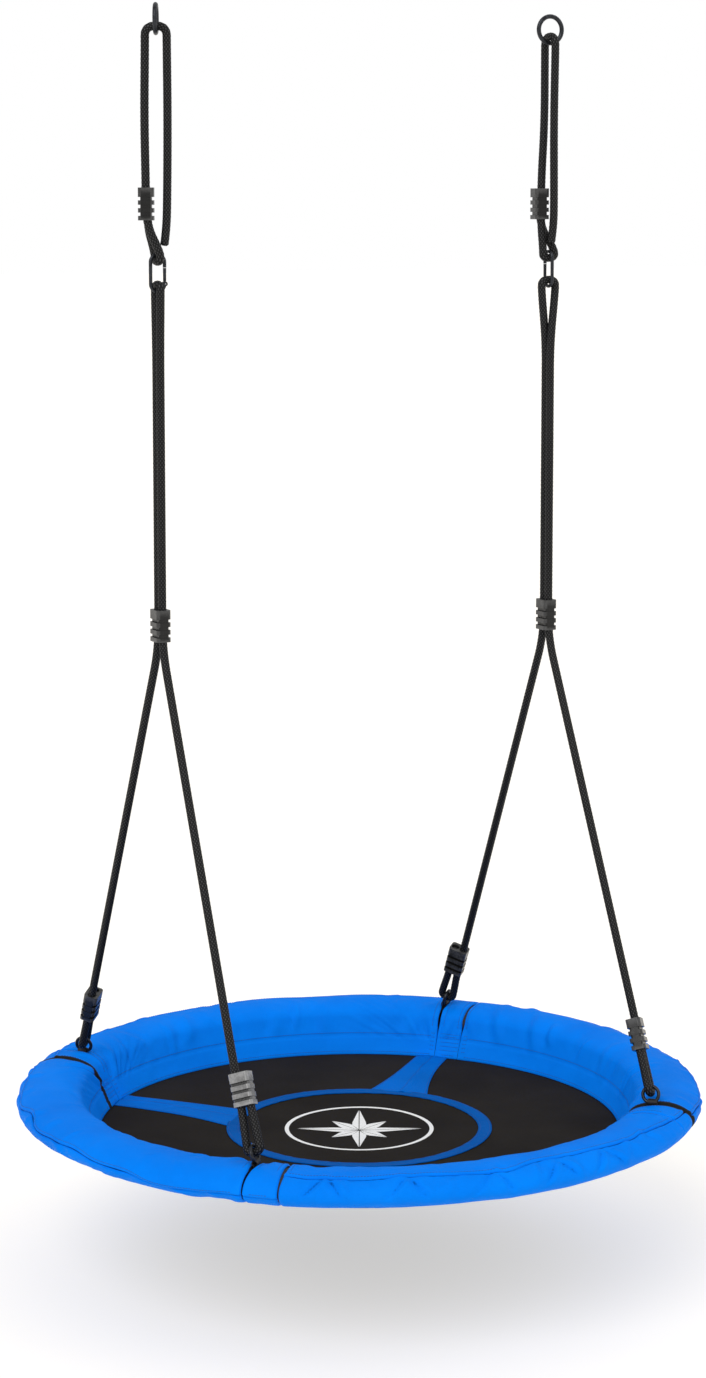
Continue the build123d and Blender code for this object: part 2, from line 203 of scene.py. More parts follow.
def woven(name, dark, light, thread, roughness, depth, gloss, crease_shade=None):
    """Plain-weave cloth, with a thread every so many metres. Its last argument, where given, is the colour
    of the painted shade in its sharp grooves.
    """
    shader = Shader(name, light, roughness)
    weave = shader.math("MULTIPLY", shader.wave("X", thread), shader.wave("Y", thread))
    soft = shader.noise(9.0, 4.0)
    fine = shader.noise(420.0, 2.0)
    shade = shader.math("ADD", shader.math("MULTIPLY", fine, 0.25), soft)
    stops = [(0.42, dark), (0.82, light)]
    # Painted shade: where the cloth is sharply hollow, its colour runs down to the crease colour
    if crease_shade is not None:
        hollows = shader.node("ShaderNodeNewGeometry").outputs["Pointiness"]
        shade = shader.math("MULTIPLY", shade, shader.spread(hollows, 0.44, 0.485, 0.0, 1.0))
        stops.insert(0, (0.0, crease_shade))
    rough = shader.spread(fine, 0.3, 0.7, roughness - 0.05, roughness + 0.07)
    normal = shader.bump(soft, 0.004, 0.12, shader.bump(weave, depth, 0.6))
    shader.set(shader.bsdf, "Specular IOR Level", gloss)
    return shader.finish(shader.ramp(shade, *stops), rough, normal)


def plastic_material(name, tone, worn_tone, gloss):
    """Moulded plastic with a satin skin, lighter rubbed edges, and painted shade that darkens the grooves
    between its fins.
    """
    plain = (tone,) * 3
    worn = (worn_tone,) * 3
    shader = Shader(name, plain, 0.36)
    grain = shader.noise(900.0, 2.0)
    rubs = shader.noise(140.0, 4.0)
    edges = shader.node("ShaderNodeNewGeometry").outputs["Pointiness"]
    wear = shader.math("MULTIPLY", shader.spread(edges, 0.51, 0.6, 0.0, 1.0), rubs)
    fins = shader.ramp(wear, (0.05, plain), (0.7, worn))
    # Painted shade: ambient occlusion darkens the colour in the grooves between the fins
    inputs = {"Color": fins, "Distance": GROOVE_SHADE_REACH}
    open_air = shader.node("ShaderNodeAmbientOcclusion", inputs, samples=8)
    shade = shader.spread(open_air.outputs["AO"], 0.45, 0.80, 0.03, 1.0)
    colour = shader.node("ShaderNodeVectorMath", {0: fins, 3: shade}, operation="SCALE").outputs["Vector"]
    roughness = shader.spread(rubs, 0.3, 0.7, 0.20, 0.36)
    shader.set(shader.bsdf, "Specular IOR Level", gloss)
    return shader.finish(colour, roughness, shader.bump(grain, 0.00012, 0.35))


def steel_material(name, colour, roughness, metallic, scuff):
    """Metal with soft draw marks and scuffed patches."""
    shader = Shader(name, colour, roughness, metallic)
    scuffs = shader.noise(160.0, 5.0, 0.65)
    draws = shader.noise(1.0, 2.0, 0.5, shader.place((1800.0, 1800.0, 120.0)))
    shade = shader.ramp(scuffs, (0.35, colour), (0.8, scuff))
    rough = shader.spread(scuffs, 0.3, 0.7, roughness - 0.07, roughness + 0.14)
    return shader.finish(shade, rough, shader.bump(draws, 0.00008, 0.4))


def foam_material(name):
    """Open-celled foam."""
    shader = Shader(name, (0.03, 0.03, 0.032), 0.95)
    cells = shader.node("ShaderNodeTexVoronoi", {"Scale": 700.0}).outputs["Distance"]
    colour = shader.ramp(cells, (0.0, (0.012, 0.012, 0.013)), (0.7, (0.04, 0.04, 0.043)))
    return shader.finish(colour, None, shader.bump(cells, 0.0006, 0.8))


def webbing_material(name, rib, pick):
    """Dark woven webbing, ribbed along its length. rib and pick are the spacings of its two threads."""
    shader = Shader(name, (0.010, 0.008, 0.007), 0.6)
    height = shader.math("ADD", shader.wave("X", rib), shader.math("MULTIPLY", shader.wave("Y", pick), 0.5))
    tone = shader.noise(90.0, 3.0)
    colour = shader.ramp(tone, (0.3, (0.006, 0.005, 0.005)), (0.8, (0.022, 0.015, 0.012)))
    return shader.finish(colour, None, shader.bump(height, 0.0003, 0.8))


def print_material(name):
    """White ink with fine cracks."""
    shader = Shader(name, (0.8, 0.8, 0.8), 0.5)
    cracks = shader.noise(300.0, 4.0, 0.7)
    colour = shader.ramp(cracks, (0.3, (0.68, 0.68, 0.67)), (0.5, (0.84, 0.84, 0.83)))
    return shader.finish(colour, None, shader.bump(cracks, 0.0001, 0.4))


def thread_material(name, colour):
    """Twisted sewing thread."""
    shader = Shader(name, colour, 0.55)
    twist = shader.noise(2600.0, 2.0)
    darker = tuple(0.6 * part for part in colour)
    tone = shader.ramp(twist, (0.3, darker), (0.7, colour))
    return shader.finish(tone, None, shader.bump(twist, 0.0001, 0.5))


BLUE = (0.0008, 0.215, 0.900)
BLUE_SHADE = (0.0005, 0.180, 0.800)
# The colour of the painted shade in the covers' sharp creases
BLUE_CREASE_SHADE = (0.0004, 0.040, 0.20)
STRAP_BLUE = (0.0008, 0.140, 0.60)
STRAP_BLUE_SHADE = (0.0005, 0.118, 0.50)
TRIM_BLUE = (0.0008, 0.100, 0.42)
TRIM_BLUE_SHADE = (0.0005, 0.080, 0.34)
CHARCOAL = (0.0195, 0.0165, 0.0130)
CHARCOAL_SHADE = (0.0135, 0.0112, 0.0088)
LINING = (0.009, 0.009, 0.009)
LINING_SHADE = (0.004, 0.004, 0.004)
# Each finish: the function that makes it, and what that is given after the name
FINISHES = {
    "black_rope": (rope_material,),
    "blue_cover": (woven, BLUE_SHADE, BLUE, 0.0008, 0.50, 0.00016, 0.02, BLUE_CREASE_SHADE),
    "blue_strap": (woven, STRAP_BLUE_SHADE, STRAP_BLUE, 0.0010, 0.55, 0.00020, 0.02),
    "blue_trim": (woven, TRIM_BLUE_SHADE, TRIM_BLUE, 0.0010, 0.55, 0.00020, 0.02),
    "mat_fabric": (woven, CHARCOAL_SHADE, CHARCOAL, 0.0016, 0.75, 0.00045, 0.05),
    "lining": (woven, LINING_SHADE, LINING, 0.0008, 0.8, 0.0002, 0.25),
    "clamp_plastic": (plastic_material, 0.009, 0.070, 0.30),
    # A paler copy of clamp_plastic, a painted highlight for the clamp nearest the viewer
    "highlight_painted_plastic": (plastic_material, 0.110, 0.300, 0.50),
    "blackened_steel": (steel_material, (0.012, 0.013, 0.016), 0.30, 0.65, (0.05, 0.055, 0.065)),
    "plated_steel": (steel_material, (0.42, 0.42, 0.43), 0.28, 1.0, (0.55, 0.55, 0.56)),
    "frame_steel": (steel_material, (0.10, 0.10, 0.105), 0.38, 0.9, (0.2, 0.2, 0.2)),
    "foam": (foam_material,),
    "dark_webbing": (webbing_material, 0.001496, 0.002417),
    "white_print": (print_material,),
    "blue_thread": (thread_material, (0.001, 0.080, 0.420)),
}
MATERIALS = {name: make(name, *given) for name, (make, *given) in FINISHES.items()}

# The clamp nearest the viewer catches the light, and reads much paler than the others: it gets a paler copy
# of their plastic, as a painted highlight
HIGHLIGHT_PAINTED_NODES = {"left_front_leg_clamp": "highlight_painted_plastic"}


def paint_cad_nodes():
    """Gives every CAD node the finish of its material slot in the record, but the clamp nearest the viewer
    its paler copy, a painted highlight.
    """
    for entry in frame["record"]["subparts"]:
        slots = NODES[entry["node"]].data.materials
        slots.clear()
        slots.append(MATERIALS[HIGHLIGHT_PAINTED_NODES.get(entry["node"], entry["material_slot"])])


# Mesh helpers


def mesh_piece(name, points, faces, materials, smooth=True):
    """A new mesh object. materials are names in MATERIALS."""
    mesh = bpy.data.meshes.new(name)
    mesh.from_pydata([tuple(point) for point in points], [], [tuple(face) for face in faces])
    mesh.validate()
    for material in materials:
        mesh.materials.append(MATERIALS[material])
    if smooth:
        mesh.polygons.foreach_set("use_smooth", [True] * len(mesh.polygons))
    piece = bpy.data.objects.new(name, mesh)
    bpy.context.scene.collection.objects.link(piece)
    return piece


def set_uvs(piece, uv_of_vertex, seam_width=0.0):
    """Writes a UV for each corner from its vertex. A face across the seam goes the short way round."""
    layer = piece.data.uv_layers.new(name="UVMap")
    for polygon in piece.data.polygons:
        corners = [uv_of_vertex[piece.data.loops[loop].vertex_index] for loop in polygon.loop_indices]
        highest = max(corner[1] for corner in corners)
        for loop, (u, v) in zip(polygon.loop_indices, corners):
            if seam_width and highest - v > seam_width / 2:
                v += seam_width
            layer.data[loop].uv = (u, v)


def grid_faces(rows, columns, closed):
    """Quads between rows of vertices. closed joins each row's last vertex to its first."""
    faces = []
    for row in range(rows - 1):
        for column in range(columns if closed else columns - 1):
            following = (column + 1) % columns
            here = row * columns
            above = here + columns
            faces.append((here + column, here + following, above + following, above + column))
    return faces


def travelled_along(points):
    """The distance along a line of points at each of them."""
    lengths = np.linalg.norm(np.diff(points, axis=0), axis=1)
    return np.concatenate(([0.0], np.cumsum(lengths)))


def points_at(wanted, travelled, points):
    """The values on a line of points at other distances along it."""
    return np.stack([np.interp(wanted, travelled, values) for values in points.T], axis=1)


def resampled(path, step, fine_reach=(0.0, 0.0), fine_step=0.001):
    """The path with evenly spaced points, closer within fine_reach, and the distance along it at each."""
    travelled = travelled_along(path)
    wanted = np.linspace(0.0, travelled[-1], int(travelled[-1] / step) + 1)
    low, high = fine_reach
    if high > low:
        fine = np.arange(low, high, fine_step)
        wanted = np.concatenate((wanted[wanted < low - fine_step], fine, wanted[wanted > high]))
    return points_at(wanted, travelled, path), wanted


def left_normals(path):
    """Unit normals of a flat line of points, to the left of its direction."""
    direction = np.gradient(path, axis=0)
    direction /= np.linalg.norm(direction, axis=1, keepdims=True)
    return np.stack([-direction[:, 1], direction[:, 0]], axis=1)


def on_seat(piece, slot, *nodes):
    """Fixes a piece to the seat, in the place of CAD nodes where it has any."""
    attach(piece, "seat")
    if nodes:
        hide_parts(*nodes)


# Ropes

ROPE_AROUND = 32
ROPE_STEP = 0.0012
BRAID_RELIEF = 0.00065
END_ROUNDING = 0.003
STRAIGHT_LEAD = 6 * 2 * ROPE_RADIUS
SWING_AXIS_Z = -0.03525
TOP_ARCH_RADIUS = 0.015
TOP_ARCH_RISE = 0.0096
CLAMP_HEIGHT = 0.045
CLAMP_BORE_OFFSET = 0.0068
EXTENSION_CLAMP_Z = -0.268
CARABINER_Z = -0.363
CARABINER_HALF_HEIGHT = 0.0255
BIGHT_RADIUS = 0.0096
CROSSED_BIGHT_RADIUS = 0.0115
PAIR_START_Z = -0.470
MID_CLAMP_Z = {-1: -0.855, 1: -0.876}
LEG_SPLAY_DROP = 0.032
SAUCER_BIGHT_RADIUS = 0.0093
SAUCER_RING_RADIUS = 0.0115
FRONT_LOOP = 0.076
BACK_LOOP = 0.066
# How far a dead end stays below the top of its clamp, and where the rope may first bend beyond a clamp
DEAD_END_DEPTH = 0.003
CLAMP_LEAD = 0.005
# Where a rope's straight side begins, beyond the wire that it goes round
BIGHT_SIDE = 0.003
# The extension loop above its clamp: where it starts, its middle height, and its straight lead to an arch
LOOP_START = 0.010
LOOP_MIDDLE_Z = -0.150
LOOP_LEAD = 0.012
# Where a leg turns towards the mid clamp, above its own clamp
LEG_START = 0.008
LEFT_RING_TURN = math.radians(63.2)
RIGHT_CLAMP_TURN = math.radians(15.0)


def extension_route(side):
    """From the dead end in the clamp, down round the carabiner, up through the clamp, over the hanging
    ring and down the long strand to where it is tucked in above the carabiner."""
    centre = Vector((side * HALF_SPAN, 0, 0))
    beside = polar(1.0, LEFT_RING_TURN - math.pi / 2)
    behind = polar(1.0, LEFT_RING_TURN)
    if side < 0:
        along = beside
        pair = Vector((0, 1, 0))
        clamp = beside * -0.015
        clamp_pair = behind
        long_strand = beside * 0.014
        tail = beside * 0.0095
        middle_share = 0.5
    else:
        along = Vector((0, -1, 0))
        pair = Vector((1, 0, 0))
        clamp = beside * -0.0135 + behind * 0.006
        clamp_pair = polar(1.0, LEFT_RING_TURN + RIGHT_CLAMP_TURN)
        long_strand = beside * 0.007 - behind * 0.007
        tail = beside * 0.003 - behind * 0.007
        middle_share = 0.25
    arch_top = SWING_AXIS_Z + TOP_ARCH_RISE
    arch_low = arch_top - TOP_ARCH_RADIUS
    clamp_low = EXTENSION_CLAMP_Z - CLAMP_HEIGHT / 2
    clamp_high = EXTENSION_CLAMP_Z + CLAMP_HEIGHT / 2
    wire_z = CARABINER_Z + CARABINER_HALF_HEIGHT
    bight_low = wire_z - BIGHT_RADIUS
    dead = clamp + clamp_pair * CLAMP_BORE_OFFSET
    running = clamp - clamp_pair * CLAMP_BORE_OFFSET
    stations = (
        (dead, clamp_high - DEAD_END_DEPTH),
        (dead, clamp_low - CLAMP_LEAD),
        (pair * BIGHT_RADIUS, wire_z + BIGHT_SIDE),
        (pair * BIGHT_RADIUS, bight_low),
        (pair * -BIGHT_RADIUS, bight_low),
        (pair * -BIGHT_RADIUS, wire_z + BIGHT_SIDE),
        (running, clamp_low - CLAMP_LEAD),
        (running, clamp_high + LOOP_START),
        (running * middle_share + along * -0.009, LOOP_MIDDLE_Z),
        (along * -TOP_ARCH_RADIUS, arch_low - LOOP_LEAD),
        (along * -TOP_ARCH_RADIUS, arch_top),
        (along * TOP_ARCH_RADIUS, arch_top),
        (along * TOP_ARCH_RADIUS, arch_low - LOOP_LEAD),
        (long_strand * middle_share + along * 0.0085, LOOP_MIDDLE_Z),
        (long_strand, EXTENSION_CLAMP_Z),
        (long_strand * 0.9, clamp_low - LOOP_LEAD),
        (tail, wire_z + LOOP_LEAD),
    )
    return [centre + offset + Vector((0, 0, z)) for offset, z in stations]


def splay_point(side, back):
    """Where a leg turns out of the rope pair, just below the mid clamp."""
    return Vector((side * HALF_SPAN, back * CLAMP_BORE_OFFSET, MID_CLAMP_Z[side] - LEG_SPLAY_DROP))


def leg_points(side, back):
    """The rope from its dead end in the leg clamp, round the saucer ring and up to the mid clamp."""
    turn = math.atan2(back, side)
    wire_low = polar(TUBE_RING_RADIUS, turn, RIM_Z + WIRE_RISE)
    splay = splay_point(side, back)
    up = (splay - wire_low).normalized()
    wire_high = wire_low + up * (2 * SAUCER_RING_RADIUS)
    across = up.cross(polar(1.0, turn)).normalized()
    if across.x * side < 0:
        across = across * -1
    loop = BACK_LOOP if back > 0 else FRONT_LOOP
    clamp_low = loop - CLAMP_HEIGHT / 2
    clamp_high = loop + CLAMP_HEIGHT / 2
    offsets = (
        (-CLAMP_BORE_OFFSET, clamp_high - DEAD_END_DEPTH),
        (-CLAMP_BORE_OFFSET, clamp_low - CLAMP_LEAD),
        (-SAUCER_BIGHT_RADIUS, BIGHT_SIDE),
        (-SAUCER_BIGHT_RADIUS, -SAUCER_BIGHT_RADIUS),
        (SAUCER_BIGHT_RADIUS, -SAUCER_BIGHT_RADIUS),
        (SAUCER_BIGHT_RADIUS, BIGHT_SIDE),
        (CLAMP_BORE_OFFSET, clamp_low - CLAMP_LEAD),
        (CLAMP_BORE_OFFSET, clamp_high + LEG_START),
    )
    points = [wire_high + across * sideways + up * height for sideways, height in offsets]
    lead = (splay - points[-1]).normalized() * STRAIGHT_LEAD
    return points + [points[-1] + lead, splay - lead, splay, splay + Vector((0, 0, STRAIGHT_LEAD))]


def main_route(side):
    """Up the front leg, through the mid clamp, over the carabiner and down the back leg."""
    if side < 0:
        arch = Vector((0, -BIGHT_RADIUS, 0))
    else:
        arch = Vector((CROSSED_BIGHT_RADIUS, 0, 0))
    bore = Vector((0, -CLAMP_BORE_OFFSET, 0))
    wire_z = CARABINER_Z - CARABINER_HALF_HEIGHT
    rising = (
        (bore, PAIR_START_Z - STRAIGHT_LEAD),
        (bore, PAIR_START_Z),
        (arch, wire_z - 0.008),
        (arch, wire_z + BIGHT_RADIUS),
    )
    centre = Vector((side * HALF_SPAN, 0, 0))
    up = [centre + offset + Vector((0, 0, z)) for offset, z in rising]
    down = [centre - offset + Vector((0, 0, z)) for offset, z in reversed(rising)]
    return leg_points(side, -1) + up + down + list(reversed(leg_points(side, 1)))


def spline_points(route, step):
    """Evenly spaced points along the smooth line that has the route as its control points."""
    curve = bpy.data.curves.new("route", "CURVE")
    curve.dimensions = "3D"
    spline = curve.splines.new("NURBS")
    spline.points.add(len(route) - 1)
    for point, place in zip(spline.points, route):
        point.co = (*place, 1.0)
    spline.order_u = 3
    spline.use_endpoint_u = True
    spline.resolution_u = 24
    holder = bpy.data.objects.new("route", curve)
    bpy.context.scene.collection.objects.link(holder)
    bpy.context.view_layer.update()
    line = bpy.data.meshes.new_from_object(holder)
    drawn = np.array([vertex.co for vertex in line.vertices], float)
    bpy.data.objects.remove(holder)
    bpy.data.curves.remove(curve)
    bpy.data.meshes.remove(line)
    return resampled(drawn, step)[0]


def carried_frames(line):
    """Two unit vectors across the line at each of its points, carried along it without twist."""
    tangents = np.gradient(line, axis=0)
    tangents /= np.linalg.norm(tangents, axis=1, keepdims=True)
    side = np.cross(tangents[0], (1.0, 0.3, 0.2))
    sides = []
    for tangent in tangents:
        side = side - tangent * np.dot(side, tangent)
        side = side / np.linalg.norm(side)
        sides.append(side)
    sides = np.array(sides)
    return sides, np.cross(tangents, sides)


def braid_height(along, around):
    """How far a braid stands out, from 0 to 1, at a distance along and a share of the way around."""
    right = around * BRAID_STRANDS + along * BRAID_STRANDS / BRAID_PITCH
    left = around * BRAID_STRANDS - along * BRAID_STRANDS / BRAID_PITCH
    right_over = (np.floor(right) + np.floor(left)) % 2 == 0
    in_right = np.cos(np.pi * (right % 1.0 - 0.5))
    in_left = np.cos(np.pi * (left % 1.0 - 0.5))
    over_right = np.sqrt(in_right) * (0.55 + 0.45 * in_left)
    over_left = np.sqrt(in_left) * (0.55 + 0.45 * in_right)
    return np.where(right_over, over_right, over_left)


def braided_rope(name, route, body, length, exit_point):
    """A rope whose braid is real relief, with rounded, sealed ends."""
    line = spline_points(route, ROPE_STEP)
    sides, ups = carried_frames(line)
    rows = len(line)
    along = np.arange(rows)[:, None] * ROPE_STEP
    around = (np.arange(ROPE_AROUND) / ROPE_AROUND)[None, :]
    radius = ROPE_RADIUS + BRAID_RELIEF * (braid_height(along, around) - 1.0)
    from_end = np.minimum(along, along[::-1])
    radius = radius * np.sqrt(np.clip(from_end / END_ROUNDING + 0.3, 0.0, 1.0))
    angle = 2 * np.pi * around
    ring = sides[:, None, :] * np.cos(angle)[..., None] + ups[:, None, :] * np.sin(angle)[..., None]
    points = (line[:, None, :] + ring * radius[..., None]).reshape(-1, 3)
    faces = grid_faces(rows, ROPE_AROUND, True)
    faces.append(tuple(reversed(range(ROPE_AROUND))))
    faces.append(tuple(range((rows - 1) * ROPE_AROUND, rows * ROPE_AROUND)))
    piece = mesh_piece(name, points, faces, ["black_rope"])
    girth = 2 * math.pi * ROPE_RADIUS
    around = [column / ROPE_AROUND * girth for column in range(ROPE_AROUND)]
    set_uvs(piece, [(row * ROPE_STEP, turned) for row in range(rows) for turned in around], girth)
    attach(piece, body)
    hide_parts(name.replace("braided_", ""))
    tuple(exit_point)


def make_ropes():
    for name, side in (("left", -1), ("right", 1)):
        for part, route, body, length in (
            ("extension", extension_route(side), "extension", EXTENSION_ROPE_LENGTH),
            ("main", main_route(side), "ropes", MAIN_ROPE_LENGTH),
        ):
            braided_rope(f"braided_{name}_{part}_rope", route, f"{name}_{body}", length, route[0])


# Seat cloth

CLOTH_STEP = 0.003
SECTION_SAMPLES = 400
# How far above and below the outer seam the cloth's grid is fine
FINE_ABOVE_SEAM = 0.010
FINE_BELOW_SEAM = 0.052
# Where the skirt meets the mat's upper and lower face: radius and height
SKIRT_TOP_EDGE = (MAT_RADIUS - 0.0006, MAT_EDGE_Z + 0.0006)
SKIRT_LOW_EDGE = (MAT_RADIUS + 0.0012, MAT_EDGE_Z - 0.0016)
SKIRT_TOP_TURN = math.radians(167.4)
SKIRT_LOW_TURN = math.radians(-149.5)
SEAM_TURN = math.radians(61.7)
SKIRT_ARC = 0.020
FLAP_SEAM_ARC = 0.031
GATHER_DEPTH = 0.0056
GATHER_REACH = 0.11
QUILT_REACH = 0.042
LIP = 0.0040
BLACK_EDGE_ROWS = 5
QUILT_ROWS = 5
QUILT_START = 0.012
QUILT_STEP = 0.0065
QUILT_DEPTH = 0.0009
QUILT_HALF_WIDTH = 0.0013
SEAM_WANDER = 0.012
# Ridges and grooves beside a seam: height, how far from it, and half width
SEAM_ROLL = (0.0012, -0.0040, 0.0032)
SEAM_GROOVE = (-0.0030, 0.0004, 0.0011)
FLAP_GROOVE = (-0.0011, 0.0, 0.0016)
# Heights of the cloth's broad and middling unevenness, and of the gathers below the outer seam
BROAD_HEIGHT = 0.0024
MIDDLING_HEIGHT = 0.0008
SEAM_GATHER_HEIGHT = 0.0042
PAD_SWELL = 0.0018
FOAM_CLEARANCE = 0.0030
# Half the gap that a strap opens, the radius it comes out at, and how far along the slit that reaches
STRAP_OPENING = 0.0042
STRAP_PLACE = 0.447
STRAP_REACH = 0.023
CLOSED_SLIT = 0.00025
BAND_TURN = math.radians(5.76)
ATTACHMENTS = {
    "right_back": (math.radians(45), -1),
    "left_back": (math.radians(135), 1),
    "left_front": (math.radians(225), 1),
    "right_front": (math.radians(315), -1),
}
# Half the gap of the slit that the strap comes out of, and of the one on the band's other side
SLIT_GAPES = {
    "right_back": (0.0016, 0.0020),
    "left_back": (0.0016, 0.0022),
    "left_front": (0.0022, 0.0024),
    "right_front": (0.0036, 0.0012),
}
# Slits whose two edges are made black with the lining: the attachment, and which of its two slits
BLACK_EDGED_SLITS = (("left_back", 1), ("right_front", 0))
# How strong each cover's top folds are. The covers run round between one attachment and the next
FOLD_STRENGTH = {"back": 1.0, "left": 0.45, "front": 0.35, "right": 1.0}
# How far each cover's outer seam sinks at its start and its end, and the angles in degrees it sinks between
DROOPS = {
    "back": (0.0, 0.0, 45.0, 135.0),
    "left": (0.022, 0.042, 165.0, 222.0),
    "front": (0.0, 0.016, 285.0, 315.0),
    "right": (0.026, 0.026, 315.0, 405.0),
}
# The cover whose seam each rim band carries on
SEAM_NEIGHBOURS = {"right_back": "right", "left_back": "back", "left_front": "left", "right_front": "front"}
# Two belts of folds: how many, the first seed, the arcs they lie between, their half widths and heights
TOP_FOLDS = (13, 30, (0.018, 0.120), (0.005, 0.014), (0.0016, 0.0038))
LOW_FOLDS = (10, 60, (0.120, 0.185), (0.004, 0.011), (0.0010, 0.0024))
# Angles in degrees of the puckers that spread from the front seam, each a pair of creases in a V
PUCKERS = (238.0, 251.0, 265.0, 277.0, 287.0)
PUCKER_LEANS = (-0.75, 0.55)
PUCKER_REACH = (-0.002, 0.044)
PUCKER_HALF_WIDTH = 0.0050
PUCKER_DEPTH = 0.0034
LATTICE_SIZE = 64
LATTICE = np.random.default_rng(11).random((LATTICE_SIZE, LATTICE_SIZE))
# Where a cloth has its first points from an edge that turns in, as shares of the lip
LIP_SHARES = np.array([0.0, 0.12, 0.3, 0.55, 0.8])


def smoothstep(value, low, high):
    share = np.clip((value - low) / (high - low), 0.0, 1.0)
    return share * share * (3 - 2 * share)


def window(value, rise, full, fall, end):
    """0 up to rise, 1 between full and fall, and 0 from end on."""
    return smoothstep(value, rise, full) * (1 - smoothstep(value, fall, end))


def bell(distance, half_width, power=2):
    """1 at no distance, falling to nothing at about twice the half width."""
    return np.exp(-((distance / half_width) ** power))


def ridge(distance, height, place, half_width):
    """A ridge, or a groove where height is below 0, at a place along a distance."""
    return height * bell(distance - place, half_width)


def lattice_noise(x, y):
    """Smooth noise from 0 to 1, one cell to a unit. It repeats after LATTICE_SIZE cells."""
    column = np.floor(x).astype(int)
    row = np.floor(y).astype(int)
    across = smoothstep(x - column, 0.0, 1.0)
    along = smoothstep(y - row, 0.0, 1.0)
    left, right = column % LATTICE_SIZE, (column + 1) % LATTICE_SIZE
    low, high = (
        LATTICE[line % LATTICE_SIZE, left] * (1 - across) + LATTICE[line % LATTICE_SIZE, right] * across
        for line in (row, row + 1)
    )
    return low * (1 - along) + high * along


def pad_section():
    """The cover's section as radius and height: up from the mat, over the padding and back under it.
    Also its outward normals, the distance along it, and how far along the outer seam lies."""
    turn = np.linspace(SKIRT_TOP_TURN, SKIRT_LOW_TURN, SECTION_SAMPLES)
    wide = PAD_HALF_WIDTH + PAD_SWELL
    high = PAD_HALF_HEIGHT + PAD_SWELL
    oval = np.stack([PAD_RADIUS + wide * np.cos(turn), RIM_Z + high * np.sin(turn)], axis=1)
    drawn = np.vstack([SKIRT_TOP_EDGE, oval, SKIRT_LOW_EDGE])
    seam = (PAD_RADIUS + wide * math.cos(SEAM_TURN), RIM_Z + high * math.sin(SEAM_TURN))
    coarse, coarse_arcs = resampled(drawn, CLOTH_STEP)
    seam_arc = coarse_arcs[np.argmin(np.linalg.norm(coarse - seam, axis=1))]
    path, arcs = resampled(drawn, CLOTH_STEP, (seam_arc - FINE_ABOVE_SEAM, seam_arc + FINE_BELOW_SEAM))
    return path, left_normals(path), arcs, seam_arc


SECTION, SECTION_NORMAL, SECTION_ARCS, SEAM_ARC = pad_section()


def seam_line(angle, cover):
    """How far along a cover's section its outer seam lies at an angle round the rim."""
    wander = lattice_noise(angle * 9.0, angle * 0 + 3.0) - 0.5
    first, last, low, high = DROOPS[cover]
    droop = first + (last - first) * smoothstep(angle, math.radians(low), math.radians(high))
    return SEAM_ARC + SEAM_WANDER * wander + droop


def make_folds(start, end, index, belt, strength):
    """Soft folds across the rim: angle, half width, height, lean, and the two arcs that they fade at."""
    count, first_seed, (low_arc, high_arc), widths, heights = belt
    draw = random.Random(first_seed + index)
    folds = []
    for place in range(count):
        angle = start + (end - start) * (place + draw.uniform(0.15, 0.85)) / count
        height = strength * draw.uniform(*heights) * draw.choice((1, 1, -0.6))
        reach = draw.uniform(0.5, 1.0) * (high_arc - low_arc)
        begin = draw.uniform(low_arc, high_arc - reach)
        width = draw.uniform(*widths)
        folds.append((angle, width, height, draw.uniform(-0.45, 0.45), begin, begin + reach))
    return folds


def make_puckers():
    """Creases that run down from the outer seam, in the same form as folds."""
    low_arc, high_arc = (SEAM_ARC + reach for reach in PUCKER_REACH)
    creases = []
    for degrees in PUCKERS:
        for lean in PUCKER_LEANS:
            middle = math.radians(degrees) + lean * (high_arc - low_arc) / 2 / PAD_RADIUS
            creases.append((middle, PUCKER_HALF_WIDTH, -PUCKER_DEPTH, lean, low_arc, high_arc))
    return creases


def fold_height(angle, arc, folds):
    """The sum of the folds at each place: each a crest with a shallower furrow beside it."""
    total = np.zeros_like(angle)
    for at, width, height, lean, begin, end in folds:
        middle = (begin + end) / 2
        across = (angle - at) * PAD_RADIUS - lean * (arc - middle)
        reach = end - begin
        fade = window(arc, begin, begin + 0.3 * reach, end - 0.4 * reach, end)
        shape = bell(across, width) - 0.6 * bell(across - 1.5 * width, width)
        total += height * fade * shape
    return total


def gather_height(angle, arc):
    """Gathers that fan out from the sewn foot of each hanging strap over the padding."""
    total = np.zeros_like(angle)
    for turn, _ in ATTACHMENTS.values():
        away = (angle - turn) * PAD_RADIUS
        fan = 0.45 + np.clip(arc - 0.02, 0.0, 1.0) / 0.075
        ripple = lattice_noise(away / fan / 0.0085 + 20.0, arc / 0.09 + turn)
        share = bell(away, GATHER_REACH) * window(arc, 0.022, 0.04, 0.085, 0.125)
        total += GATHER_DEPTH * (ripple - 0.55) * share
    return total


